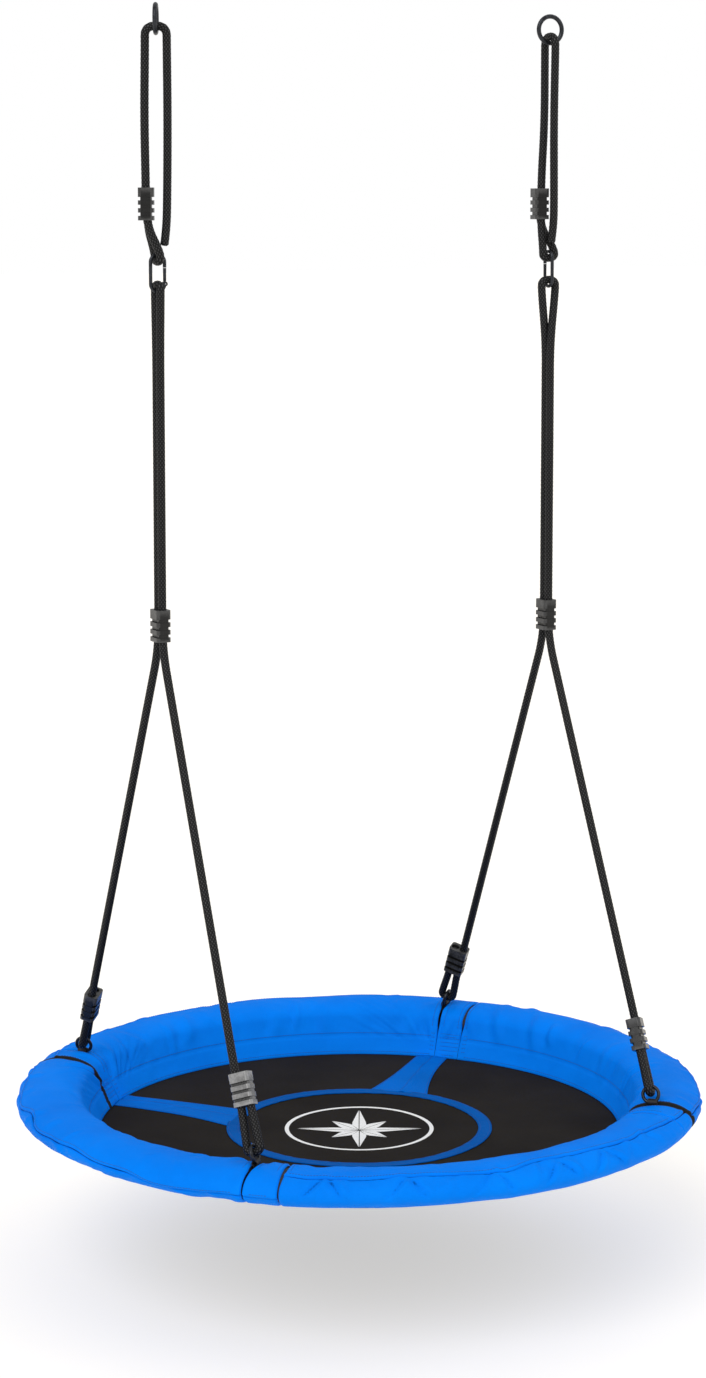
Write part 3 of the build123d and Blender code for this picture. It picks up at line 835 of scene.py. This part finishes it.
def cover_height(angle, arc, folds, cover):
    """How far the cloth stands off its plain section. cover is the one whose outer seam it has."""
    broad = lattice_noise(angle * 7.0, arc * 16.0) - 0.5
    middling = lattice_noise(angle * 21.0 + arc * 20.0, arc * 36.0) - 0.5
    height = (BROAD_HEIGHT * broad + MIDDLING_HEIGHT * middling) * smoothstep(arc, 0.0, SKIRT_ARC)
    height += fold_height(angle, arc, folds) + gather_height(angle, arc)
    from_seam = arc - seam_line(angle, cover)
    height += ridge(from_seam, *SEAM_ROLL) + ridge(from_seam, *SEAM_GROOVE)
    gathers = lattice_noise(angle * 26.0 + from_seam * 60.0 * np.sin(angle * 13.0), from_seam * 24.0)
    height += SEAM_GATHER_HEIGHT * (gathers - 0.5) * window(from_seam, 0.0, 0.004, 0.012, 0.040)
    height += ridge(arc - FLAP_SEAM_ARC, *FLAP_GROOVE)
    for turn, band_side in ATTACHMENTS.values():
        sewn = bell((angle - turn - band_side * BAND_TURN / 2) * PAD_RADIUS, QUILT_REACH, 4)
        for row in range(QUILT_ROWS):
            row_arc = QUILT_START + row * QUILT_STEP
            height -= QUILT_DEPTH * sewn * bell(arc - row_arc, QUILT_HALF_WIDTH)
    return np.maximum(height, -FOAM_CLEARANCE)


def slit_half_width(gape, opening):
    """Half the gap of a slit at each place on the section. opening is how much a strap spreads it."""
    on_top = SECTION[:, 1] > RIM_Z
    strap_room = opening * bell(SECTION[:, 0] - STRAP_PLACE, STRAP_REACH) * on_top
    open_share = window(SECTION_ARCS, 0.036, 0.062, 0.24, 0.26)
    open_share *= 1 - 0.75 * smoothstep(SECTION_ARCS, 0.10, 0.17)
    return CLOSED_SLIT + np.maximum(gape * open_share, strap_room)


# A slit's half gap, how much a strap spreads it, and whether its edges are black
Slit = namedtuple("Slit", "gape opening bound")


class Cloth:
    """A grid of points over part of the rim: rows go round the rim, columns along the section."""

    def __init__(self, start, end, start_slit, end_slit, folds, cover):
        length = (end - start) * PAD_RADIUS
        lip = LIP / length
        inner = np.linspace(0.0, 1.0, max(int(length / CLOTH_STEP), 6))
        edge = LIP_SHARES * lip
        shares = np.concatenate((edge, inner[(inner > lip) & (inner < 1 - lip)], 1 - edge[::-1]))
        first = start + slit_half_width(start_slit.gape, start_slit.opening) / SECTION[:, 0]
        last = end - slit_half_width(end_slit.gape, end_slit.opening) / SECTION[:, 0]
        self.bound = (start_slit.bound, end_slit.bound)
        self.cover = cover
        self.angles = first + (last - first) * shares[:, None]
        arcs = np.broadcast_to(SECTION_ARCS, self.angles.shape)
        to_edge = np.minimum(shares, 1 - shares)[:, None] * length
        tuck = np.clip(1 - to_edge / LIP, 0.0, 1.0)
        rounding = LIP * (1 - np.sqrt(1 - tuck**2 * 0.98))
        away_from_mat = window(SECTION_ARCS, 0.0, 0.05, 0.255, 0.29)
        height = cover_height(self.angles, arcs, folds, cover) - rounding * away_from_mat
        radius = SECTION[:, 0] + SECTION_NORMAL[:, 0] * height
        level = SECTION[:, 1] + SECTION_NORMAL[:, 1] * height
        self.points = np.stack([radius * np.cos(self.angles), radius * np.sin(self.angles), level], axis=2)

    def at(self, angle, arc):
        """The point and the outward normal at an angle and a distance along the section."""
        column = np.interp(arc, SECTION_ARCS, np.arange(len(SECTION_ARCS)))
        low_column = min(int(column), len(SECTION_ARCS) - 2)
        row = np.interp(angle, self.angles[:, low_column], np.arange(len(self.angles)))
        low_row = min(int(row), len(self.angles) - 2)
        row -= low_row
        column -= low_column
        corner = self.points[low_row, low_column]
        along = self.points[low_row + 1, low_column] - corner
        across = self.points[low_row, low_column + 1] - corner
        twist = self.points[low_row + 1, low_column + 1] - corner - along - across
        normal = np.cross(across, along)
        return corner + row * along + column * across + row * column * twist, normal / np.linalg.norm(normal)

    def make(self, name, *nodes):
        """The cloth as a mesh, with lining on its cut ends and on its black edges beside slits."""
        rows, columns = self.angles.shape
        last_row = (rows - 1) * columns
        faces = grid_faces(rows, columns, True)
        faces.append(tuple(range(columns)))
        faces.append(tuple(reversed(range(last_row, rows * columns))))
        piece = mesh_piece(name, self.points.reshape(-1, 3), faces, ["blue_cover", "lining"])
        polygons = piece.data.polygons
        for polygon in polygons[-2:]:
            polygon.material_index = 1
            polygon.use_smooth = False
        # The rows next to a slit with black edges take the black lining
        edge_faces = BLACK_EDGE_ROWS * columns
        for is_black_edged, low in zip(self.bound, (0, last_row - edge_faces)):
            if is_black_edged:
                for polygon in polygons[low : low + edge_faces]:
                    polygon.material_index = 1
        uvs = [(arc, angle * PAD_RADIUS) for line in self.angles for arc, angle in zip(SECTION_ARCS, line)]
        set_uvs(piece, uvs)
        on_seat(piece, "blue_cover", *nodes)


def slit(name, which):
    """A slit at an attachment: 0 is the one that the strap comes out of, and 1 the one beyond the band."""
    return Slit(SLIT_GAPES[name][which], STRAP_OPENING if which == 0 else 0.0, (name, which) in BLACK_EDGED_SLITS)


def make_covers():
    """Four covers and four rim bands, with a slit on each side of every band."""
    cloths = {}
    for name, (turn, side) in ATTACHMENTS.items():
        start, end = sorted((turn, turn + side * BAND_TURN))
        start_slit, end_slit = (slit(name, 0), slit(name, 1)) if side > 0 else (slit(name, 1), slit(name, 0))
        cloths[name] = Cloth(start, end, start_slit, end_slit, [], SEAM_NEIGHBOURS[name])
        cloths[name].make(f"{name}_rim_band_cloth", f"{name}_rim_band")
    names = list(ATTACHMENTS)
    for index, (cover, strength) in enumerate(FOLD_STRENGTH.items()):
        before, after = names[index], names[(index + 1) % len(names)]
        start, start_side = ATTACHMENTS[before]
        end, end_side = ATTACHMENTS[after]
        if end < start:
            end += 2 * math.pi
        # A cover starts or ends at the strap's slit, or else beyond the band
        past_start = 0 if start_side < 0 else 1
        past_end = 0 if end_side > 0 else 1
        start += past_start * BAND_TURN
        end -= past_end * BAND_TURN
        folds = make_folds(start, end, index, TOP_FOLDS, strength)
        folds += make_folds(start, end, index, LOW_FOLDS, 1.0)
        if cover == "front":
            folds += make_puckers()
        start_slit, end_slit = slit(before, past_start), slit(after, past_end)
        cloths[cover] = Cloth(start, end, start_slit, end_slit, folds, cover)
        cloths[cover].make(f"{cover}_cover_cloth", f"{cover}_cover", f"{cover}_skirt")
    return cloths


# Mat, trim and radial straps

MAT_STEP = 0.005
MAT_THICKNESS = 0.0018
SHEET_THICKNESS = 0.0012
# The mat's grid closes round a hole too small to see
MAT_HOLE = 0.003
# Heights of the mat's tension rays and of its broad unevenness
MAT_RAY_HEIGHT = 0.0022
MAT_BROAD_HEIGHT = 0.0012
TRIM_LIFT = 0.0016
TRIM_STEP = 0.002
TRIM_PUFF = 0.0006
STRAP_LIFT = 0.0014
STRAP_INNER = 0.188
STRAP_OUTER = 0.3815
STRAP_STEP = 0.0025
STRAP_PUFF = 0.0006
STRAP_FOLD_HEIGHT = 0.0014
STRAP_RIPPLE_HEIGHT = 0.0016
FLARE_POWER = 2.2
# Each strap's angle in degrees, and how far its two edges lie to the side of it at the skirt and at the ring
RADIAL_STRAPS = {
    "left_back_radial_strap": (136.0, (-0.036, 0.018), (-0.030, 0.052)),
    "right_back_radial_strap": (45.0, (-0.022, 0.028), (-0.048, 0.044)),
}


def mat_height(x, y):
    """The mat's top face: a shallow dish, with soft tension waves that run in from the rim."""
    radius = np.hypot(x, y)
    angle = np.arctan2(y, x)
    dish = MAT_CENTRE_Z + (MAT_EDGE_Z - MAT_CENTRE_Z) * radius / MAT_RADIUS
    rim_share = window(radius, 0.20, 0.36, 0.365, MAT_RADIUS)
    ray = (lattice_noise(angle * 8.0 + 60.0, radius * 9.0) - 0.5) * rim_share
    broad = lattice_noise(x * 11.0 + 9.0, y * 11.0 + 5.0) - 0.5
    return dish + MAT_RAY_HEIGHT * ray + MAT_BROAD_HEIGHT * broad * (1 - smoothstep(radius, 0.33, 0.38))


def thick_sheet(name, grid, closed, thickness, material):
    """A thin level sheet with two faces and an edge all round, from a grid of points on its upper face."""
    rows, columns = grid.shape[:2]
    count = rows * columns
    under = grid - (0.0, 0.0, thickness)
    faces = grid_faces(rows, columns, closed)
    faces += [tuple(count + corner for corner in reversed(face)) for face in faces]
    for column in range(columns if closed else columns - 1):
        after = (column + 1) % columns
        last = (rows - 1) * columns
        faces.append((after, column, count + column, count + after))
        faces.append((last + column, last + after, count + last + after, count + last + column))
    if not closed:
        for row in range(rows - 1):
            near, far = row * columns, (row + 1) * columns
            faces.append((near, far, count + far, count + near))
            near, far = near + columns - 1, far + columns - 1
            faces.append((far, near, count + near, count + far))
    piece = mesh_piece(name, np.concatenate((grid.reshape(-1, 3), under.reshape(-1, 3))), faces, [material])
    set_uvs(piece, [(vertex.co.x, vertex.co.y) for vertex in piece.data.vertices])
    return piece


def ring_grid(inner, outer, lift, step, puff=0.0):
    """A grid over a ring of the mat, lift above it and puffed up along its middle."""
    rows = max(int((outer - inner) / step) + 1, 4)
    columns = int(2 * math.pi * outer / (1.4 * step))
    radius = np.linspace(inner, outer, rows)[:, None]
    angle = -np.linspace(0.0, 2 * math.pi, columns, endpoint=False)[None, :]
    x, y = radius * np.cos(angle), radius * np.sin(angle)
    across = (radius - inner) / (outer - inner)
    crown = puff * (1 - (2 * across - 1) ** 4)
    ripple = 0.0006 * (lattice_noise(-angle * 30.0, radius * 90.0) - 0.5) * (puff > 0)
    return np.stack([x, y, mat_height(x, y) + lift + crown + ripple], axis=2)


def make_mat():
    """The mat and the round trim sewn on it."""
    grid = ring_grid(MAT_HOLE, MAT_RADIUS, 0.0, MAT_STEP)
    mat = thick_sheet("mat_cloth", grid, True, MAT_THICKNESS, "mat_fabric")
    on_seat(mat, "mat_fabric", "mat")
    trim_grid = ring_grid(TRIM_INNER, TRIM_OUTER, TRIM_LIFT, TRIM_STEP, TRIM_PUFF)
    trim = thick_sheet("centre_ring_trim_cloth", trim_grid, True, SHEET_THICKNESS, "blue_trim")
    on_seat(trim, "blue_trim", "centre_ring_trim")


def strap_grid(name):
    """A grid over a radial strap, in to the centre ring. Its two edges flare towards the ring."""
    degrees, outer_edges, inner_edges = RADIAL_STRAPS[name]
    turn = math.radians(degrees)
    rows = int((STRAP_OUTER - STRAP_INNER) / STRAP_STEP)
    columns = int((outer_edges[1] - outer_edges[0]) / STRAP_STEP * 1.3)
    radius = np.linspace(STRAP_OUTER, STRAP_INNER, rows)[:, None]
    across = np.linspace(-1.0, 1.0, columns)[None, :]
    flare = ((STRAP_OUTER - radius) / (STRAP_OUTER - STRAP_INNER)) ** FLARE_POWER
    low, high = (outer + (inner - outer) * flare for outer, inner in zip(outer_edges, inner_edges))
    sideways = low + (high - low) * (across + 1) / 2
    x = radius * math.cos(turn) - sideways * math.sin(turn)
    y = radius * math.sin(turn) + sideways * math.cos(turn)
    fold = STRAP_FOLD_HEIGHT * bell(across - 0.25 * np.sin(radius * 19.0), 0.08)
    ripple = STRAP_RIPPLE_HEIGHT * (lattice_noise(radius * 40.0, across * 2.2 + turn * 3.0) - 0.4)
    crown = STRAP_PUFF * (1 - across**6) + ripple * (1 - across**4) + fold * (1 - across**2)
    return np.stack([x, y, mat_height(x, y) + STRAP_LIFT + crown], axis=2)


def make_radial_straps():
    """The two wide straps sewn to the mat, from the skirt in to the centre ring."""
    for name, (_, outer_edges, inner_edges) in RADIAL_STRAPS.items():
        strap = thick_sheet(f"{name}_cloth", strap_grid(name), False, SHEET_THICKNESS, "blue_strap")
        on_seat(strap, "blue_cover", name)


# Hanging straps

WEBBING_HALF = 0.0011
TUBE_RADIUS = 0.0135
SAUCER_WIRE_RADIUS = 0.0025
WEBBING_ACROSS = 14
WEBBING_STEP = 0.0012
# Half widths of the strap at the tube and where it comes out of its slit, and the heights it narrows between
WEBBING_WIDE = 0.010
WEBBING_NARROW = 0.007
NARROWING = (0.012, 0.017)
# Air between the strap and the tube, and between it and the wire
TUBE_GAP = 0.0004
WIRE_GAP = 0.0003
# Where the strap leaves the tube, and where it meets and leaves the wire
TUBE_TURN = math.radians(80)
WIRE_TURNS = (math.radians(195), math.radians(-15))


def webbing_path():
    """The strap's middle line, across the slit: round the frame tube, up, and over the ring's wire."""
    around_tube = TUBE_RADIUS + TUBE_GAP + WEBBING_HALF
    around_wire = SAUCER_WIRE_RADIUS + WIRE_GAP + WEBBING_HALF
    tube = np.linspace(TUBE_TURN, -math.pi - TUBE_TURN, 60)
    belt = np.stack([around_tube * np.cos(tube), around_tube * np.sin(tube)], axis=1)
    wire = np.linspace(*WIRE_TURNS, 26)
    wrap = np.stack([around_wire * np.cos(wire), WIRE_RISE + around_wire * np.sin(wire)], axis=1)
    neck = 0.55 * WIRE_RISE + 0.45 * around_tube
    left = np.array([(-0.0014, around_tube + 0.001), (-0.0016, neck)])
    right = left[::-1] * (-1, 1)
    return resampled(np.vstack([belt, left, wrap, right, belt[:1]]), WEBBING_STEP)


def make_hanging_straps():
    """Four webbing belts round the tube, each with two plies up to its saucer ring."""
    path, arcs = webbing_path()
    half_widths = WEBBING_WIDE - (WEBBING_WIDE - WEBBING_NARROW) * smoothstep(path[:, 1], *NARROWING)
    shares = np.linspace(-1.0, 1.0, WEBBING_ACROSS)
    outline = [(share, 1.0) for share in shares] + [(share, -1.0) for share in reversed(shares)]
    faces = grid_faces(len(path), len(outline), True)
    uvs = [(share * half, arc) for arc, half in zip(arcs, half_widths) for share, _ in outline]
    for name, (turn, _) in ATTACHMENTS.items():
        outward = polar(1.0, turn)
        tangent = polar(1.0, turn + math.pi / 2)
        centre = polar(TUBE_RING_RADIUS, turn, RIM_Z)
        points = []
        for place, facing, half in zip(path, left_normals(path), half_widths):
            for share, face in outline:
                thick = WEBBING_HALF * face * math.sqrt(max(1 - share**8, 0.05))
                sideways, rise = place + facing * thick
                points.append(centre + tangent * sideways + Vector((0, 0, rise)) + outward * (share * half))
        strap = mesh_piece(f"{name}_webbing", points, faces, ["dark_webbing"])
        set_uvs(strap, uvs)
        on_seat(strap, "dark_webbing", f"{name}_hanging_strap")


# Stitching and print

SEAM_PITCH = 0.0042
STRAP_ROW_PITCH = 0.0034
TRIM_PITCH = 0.0036
STITCH_SHARE = 0.68
THREAD_RADIUS = 0.00038
# A stitch: shares of its length, and how high the thread's middle is at each, in thread radii
STITCH_SHARES = np.array([0.0, 0.25, 0.75, 1.0])
STITCH_RISES = (-0.3, 0.55, 0.55, -0.3)
STITCH_FACES = grid_faces(4, 4, True) + [(3, 2, 1, 0), (12, 13, 14, 15)]
# Where the rows of stitches lie, how far they stay from edges, and how far a strap's rows reach
SEAM_STITCH_OFFSET = 0.0045
FLAP_STITCH_ARC = FLAP_SEAM_ARC + 0.0030
MAT_STITCH_ARC = 0.0045
END_STITCH_ARC = 0.05
STITCH_MARGIN = 0.006 / PAD_RADIUS
ROW_REACH = 0.036 / PAD_RADIUS
SHORTEST_ROW = 0.006
SHORTEST_STITCH = 0.00001
TRIM_STITCH_INSET = 0.003
STITCH_LIFT = 0.0004
STRAIGHT_UP = (0.0, 0.0, 1.0)


def stitch_row(line, pitch, points, faces):
    """Adds one stitch to each pitch of a line, which is a list of (point, normal) on the cloth."""
    places = np.array([place for place, _ in line], float)
    normals = np.array([normal for _, normal in line], float)
    travelled = travelled_along(places)
    for index in range(int(travelled[-1] / pitch)):
        stations = (index + STITCH_SHARE * STITCH_SHARES) * pitch
        spots = points_at(stations, travelled, places)
        up = points_at(stations[1:2], travelled, normals)[0]
        up /= np.linalg.norm(up)
        along = spots[-1] - spots[0]
        length = np.linalg.norm(along)
        if length < SHORTEST_STITCH:
            continue
        side = np.cross(up, along / length)
        first = len(points)
        for spot, rise in zip(spots, STITCH_RISES):
            for across, above in ((1, 0), (0, 1), (-1, 0), (0, -1)):
                points.append(spot + (side * across + up * (rise + above)) * THREAD_RADIUS)
        faces += [tuple(first + corner for corner in face) for face in STITCH_FACES]


def stitched_piece(name, lines, pitch, slot):
    """All the stitches of some lines, as one piece."""
    points, faces = [], []
    for line in lines:
        stitch_row(line, pitch, points, faces)
    on_seat(mesh_piece(name, points, faces, ["blue_thread"]), slot)


def round_line(cloth, first, last, arc_at):
    """A line round the cloth between two angles. arc_at gives how far along its section, for each angle."""
    count = max(int((last - first) * PAD_RADIUS / CLOTH_STEP), 4)
    return [cloth.at(angle, float(arc_at(angle))) for angle in np.linspace(first, last, count)]


def section_line(cloth, angle, low_arc, high_arc):
    """A line along the cloth's section, at one angle."""
    count = int((high_arc - low_arc) / 0.002)
    return [cloth.at(angle, arc) for arc in np.linspace(low_arc, high_arc, count)]


def mat_circle(radius):
    """A circle on the mat's trim."""
    line = []
    for angle in np.linspace(0.0, 2 * math.pi, 360):
        x, y = radius * math.cos(angle), radius * math.sin(angle)
        line.append(((x, y, float(mat_height(x, y)) + TRIM_LIFT + STITCH_LIFT), STRAIGHT_UP))
    return line


def seam_lines(cloth):
    """The stitch lines along a cloth's outer seam, its flap seam, its edge at the mat and its two ends."""
    first = cloth.angles[0].max() + STITCH_MARGIN
    last = cloth.angles[-1].min() - STITCH_MARGIN
    lines = [
        round_line(cloth, first, last, lambda angle: seam_line(angle, cloth.cover) - SEAM_STITCH_OFFSET),
        round_line(cloth, first, last, lambda angle: FLAP_STITCH_ARC),
        round_line(cloth, first, last, lambda angle: MAT_STITCH_ARC),
    ]
    return lines + [section_line(cloth, angle, END_STITCH_ARC, SEAM_ARC - 0.01) for angle in (first, last)]


def quilt_lines(cloth, middle):
    """The stitch lines of the rows that hold a hanging strap's foot, where they cross this cloth."""
    lines = []
    for turned in (middle, middle + 2 * math.pi):
        low = max(cloth.angles[0].max(), turned - ROW_REACH)
        high = min(cloth.angles[-1].min(), turned + ROW_REACH)
        if high - low > SHORTEST_ROW:
            for row in range(QUILT_ROWS):
                lines.append(round_line(cloth, low, high, lambda angle: QUILT_START + row * QUILT_STEP))
    return lines


def make_stitching(cloths):
    seams, rows = [], []
    for cloth in cloths.values():
        seams += seam_lines(cloth)
    for turn, band_side in ATTACHMENTS.values():
        for cloth in cloths.values():
            rows += quilt_lines(cloth, turn + band_side * BAND_TURN / 2)
    trims = [mat_circle(TRIM_INNER + TRIM_STITCH_INSET), mat_circle(TRIM_OUTER - TRIM_STITCH_INSET)]
    for name in RADIAL_STRAPS:
        grid = strap_grid(name)
        columns = grid.shape[1]
        for column in (1, columns // 2 - 1, columns - 2):
            trims.append([(point, STRAIGHT_UP) for point in grid[:, column]])
    stitched_piece("cover_seam_stitching", seams, SEAM_PITCH, "blue_cover")
    stitched_piece("strap_row_stitching", rows, STRAP_ROW_PITCH, "blue_cover")
    stitched_piece("trim_stitching", trims, TRIM_PITCH, "blue_trim")


# The print: a compass star in a thin ring
STAR_POINTS = 8
STAR_REACHES = (0.092, 0.092 * 0.62)
STAR_ROOT = 0.002
WIDE_ROOT = 0.0045
STAR_WAIST = 0.030
TIP_TURN = 0.008
# Steps from the root of a point to its tip, and how many of them its edge takes to the waist
STAR_STEPS = 10
WAIST_STEP = 3
PRINT_RING = (0.104, 0.110)
PRINT_LIFT = 0.0003
PRINT_STEP = 0.001


def star_half(tip, half):
    """One side of one point of the star: its middle line and its edge, each from the inside out."""
    middle = 2 * math.pi / STAR_POINTS * tip + CAMERA_AZIMUTH
    inner = WIDE_ROOT if half > 0 and tip % 2 == 0 else STAR_ROOT
    root = polar(inner, middle + half * math.pi / (2 * STAR_POINTS))
    waist = polar(STAR_WAIST, middle + half * math.pi / STAR_POINTS)
    point = polar(STAR_REACHES[tip % 2], middle + half * TIP_TURN)
    spine = [root.lerp(point, share / STAR_STEPS) for share in range(STAR_STEPS + 1)]
    edge = [root.lerp(waist, share * WAIST_STEP / STAR_STEPS) for share in range(WAIST_STEP + 1)]
    outer_steps = STAR_STEPS - WAIST_STEP
    return spine, edge + [waist.lerp(point, share / outer_steps) for share in range(1, outer_steps + 1)]


def make_print():
    """The star and the ring, printed on the mat. It stands in for the mark on the real one."""
    points, faces = [], []
    for tip in range(STAR_POINTS):
        for half in (-1, 1):
            first = len(points)
            for line in star_half(tip, half):
                points += [(spot.x, spot.y, float(mat_height(spot.x, spot.y)) + PRINT_LIFT) for spot in line]
            for index in range(first, first + STAR_STEPS):
                edge = index + STAR_STEPS + 1
                quad = (index, index + 1, edge + 1, edge)
                faces.append(quad if half < 0 else tuple(reversed(quad)))
    ring = ring_grid(*PRINT_RING, PRINT_LIFT, PRINT_STEP)
    offset = len(points)
    points += [tuple(point) for point in ring.reshape(-1, 3)]
    faces += [tuple(offset + corner for corner in face) for face in grid_faces(*ring.shape[:2], True)]
    on_seat(mesh_piece("mat_print", points, faces, ["white_print"]), "mat_fabric")


# Stage, lights and camera


def sun(name, towards, spread, strength):
    """A soft far light that shines along a direction. spread is how wide it is in the sky, in degrees."""
    light = bpy.data.lights.new(name, "SUN")
    light.angle = math.radians(spread)
    light.energy = strength
    lamp = bpy.data.objects.new(name, light)
    bpy.context.scene.collection.objects.link(lamp)
    lamp.rotation_euler = Vector(towards).to_track_quat("-Z", "Y").to_euler()


def make_floor():
    """A plain pale floor, with a little light of its own so that it runs out to white."""
    signs = ((-1, -1), (1, -1), (1, 1), (-1, 1))
    corners = [(x * FLOOR_REACH, y * FLOOR_REACH, FLOOR_Z) for x, y in signs]
    shader = Shader("floor", FLOOR_COLOUR, 1.0)
    shader.set(shader.bsdf, "Specular IOR Level", 0.0)
    shader.set(shader.bsdf, "Emission Color", (1.0, 1.0, 1.0, 1.0))
    shader.set(shader.bsdf, "Emission Strength", FLOOR_GLOW)
    MATERIALS["floor"] = shader.finish()
    mesh_piece("floor", corners, [(0, 1, 2, 3)], ["floor"], smooth=False)


def make_world():
    """White behind everything, and dimmer where it only lights the object."""
    world = bpy.data.worlds.new("studio")
    world.use_nodes = True
    tree = world.node_tree
    background = tree.nodes["Background"]
    background.inputs["Color"].default_value = (1.0, 1.0, 1.0, 1.0)
    path = tree.nodes.new("ShaderNodeLightPath")
    strength = tree.nodes.new("ShaderNodeMapRange")
    strength.inputs["To Min"].default_value = SKY_LIGHT
    strength.inputs["To Max"].default_value = 1.0
    tree.links.new(path.outputs["Is Camera Ray"], strength.inputs["Value"])
    tree.links.new(strength.outputs["Result"], background.inputs["Strength"])
    bpy.context.scene.world = world


def make_stage():
    make_floor()
    make_world()
    for name, (towards, spread, strength) in LAMPS.items():
        sun(name, towards, spread, strength)


def make_camera():
    camera = bpy.data.cameras.new("camera")
    camera.sensor_fit = "VERTICAL"
    camera.sensor_height = SENSOR_HEIGHT
    camera.lens = FOCAL_SHARE * SENSOR_HEIGHT
    camera.shift_x = SHIFT_SIDE
    camera.shift_y = SHIFT_UP
    camera.clip_end = 4 * FLOOR_REACH
    holder = bpy.data.objects.new("camera", camera)
    bpy.context.scene.collection.objects.link(holder)
    holder.location = polar(CAMERA_DISTANCE, CAMERA_AZIMUTH - math.pi / 2, RIM_Z + CAMERA_HEIGHT)
    holder.rotation_euler = (math.pi / 2 - CAMERA_PITCH, 0.0, CAMERA_AZIMUTH)
    bpy.context.scene.camera = holder


make_camera()
paint_cad_nodes()
make_ropes()
covers = make_covers()
make_mat()
make_radial_straps()
make_hanging_straps()
make_stitching(covers)
make_print()
make_stage()

bpy.context.scene.view_settings.view_transform = "Standard"
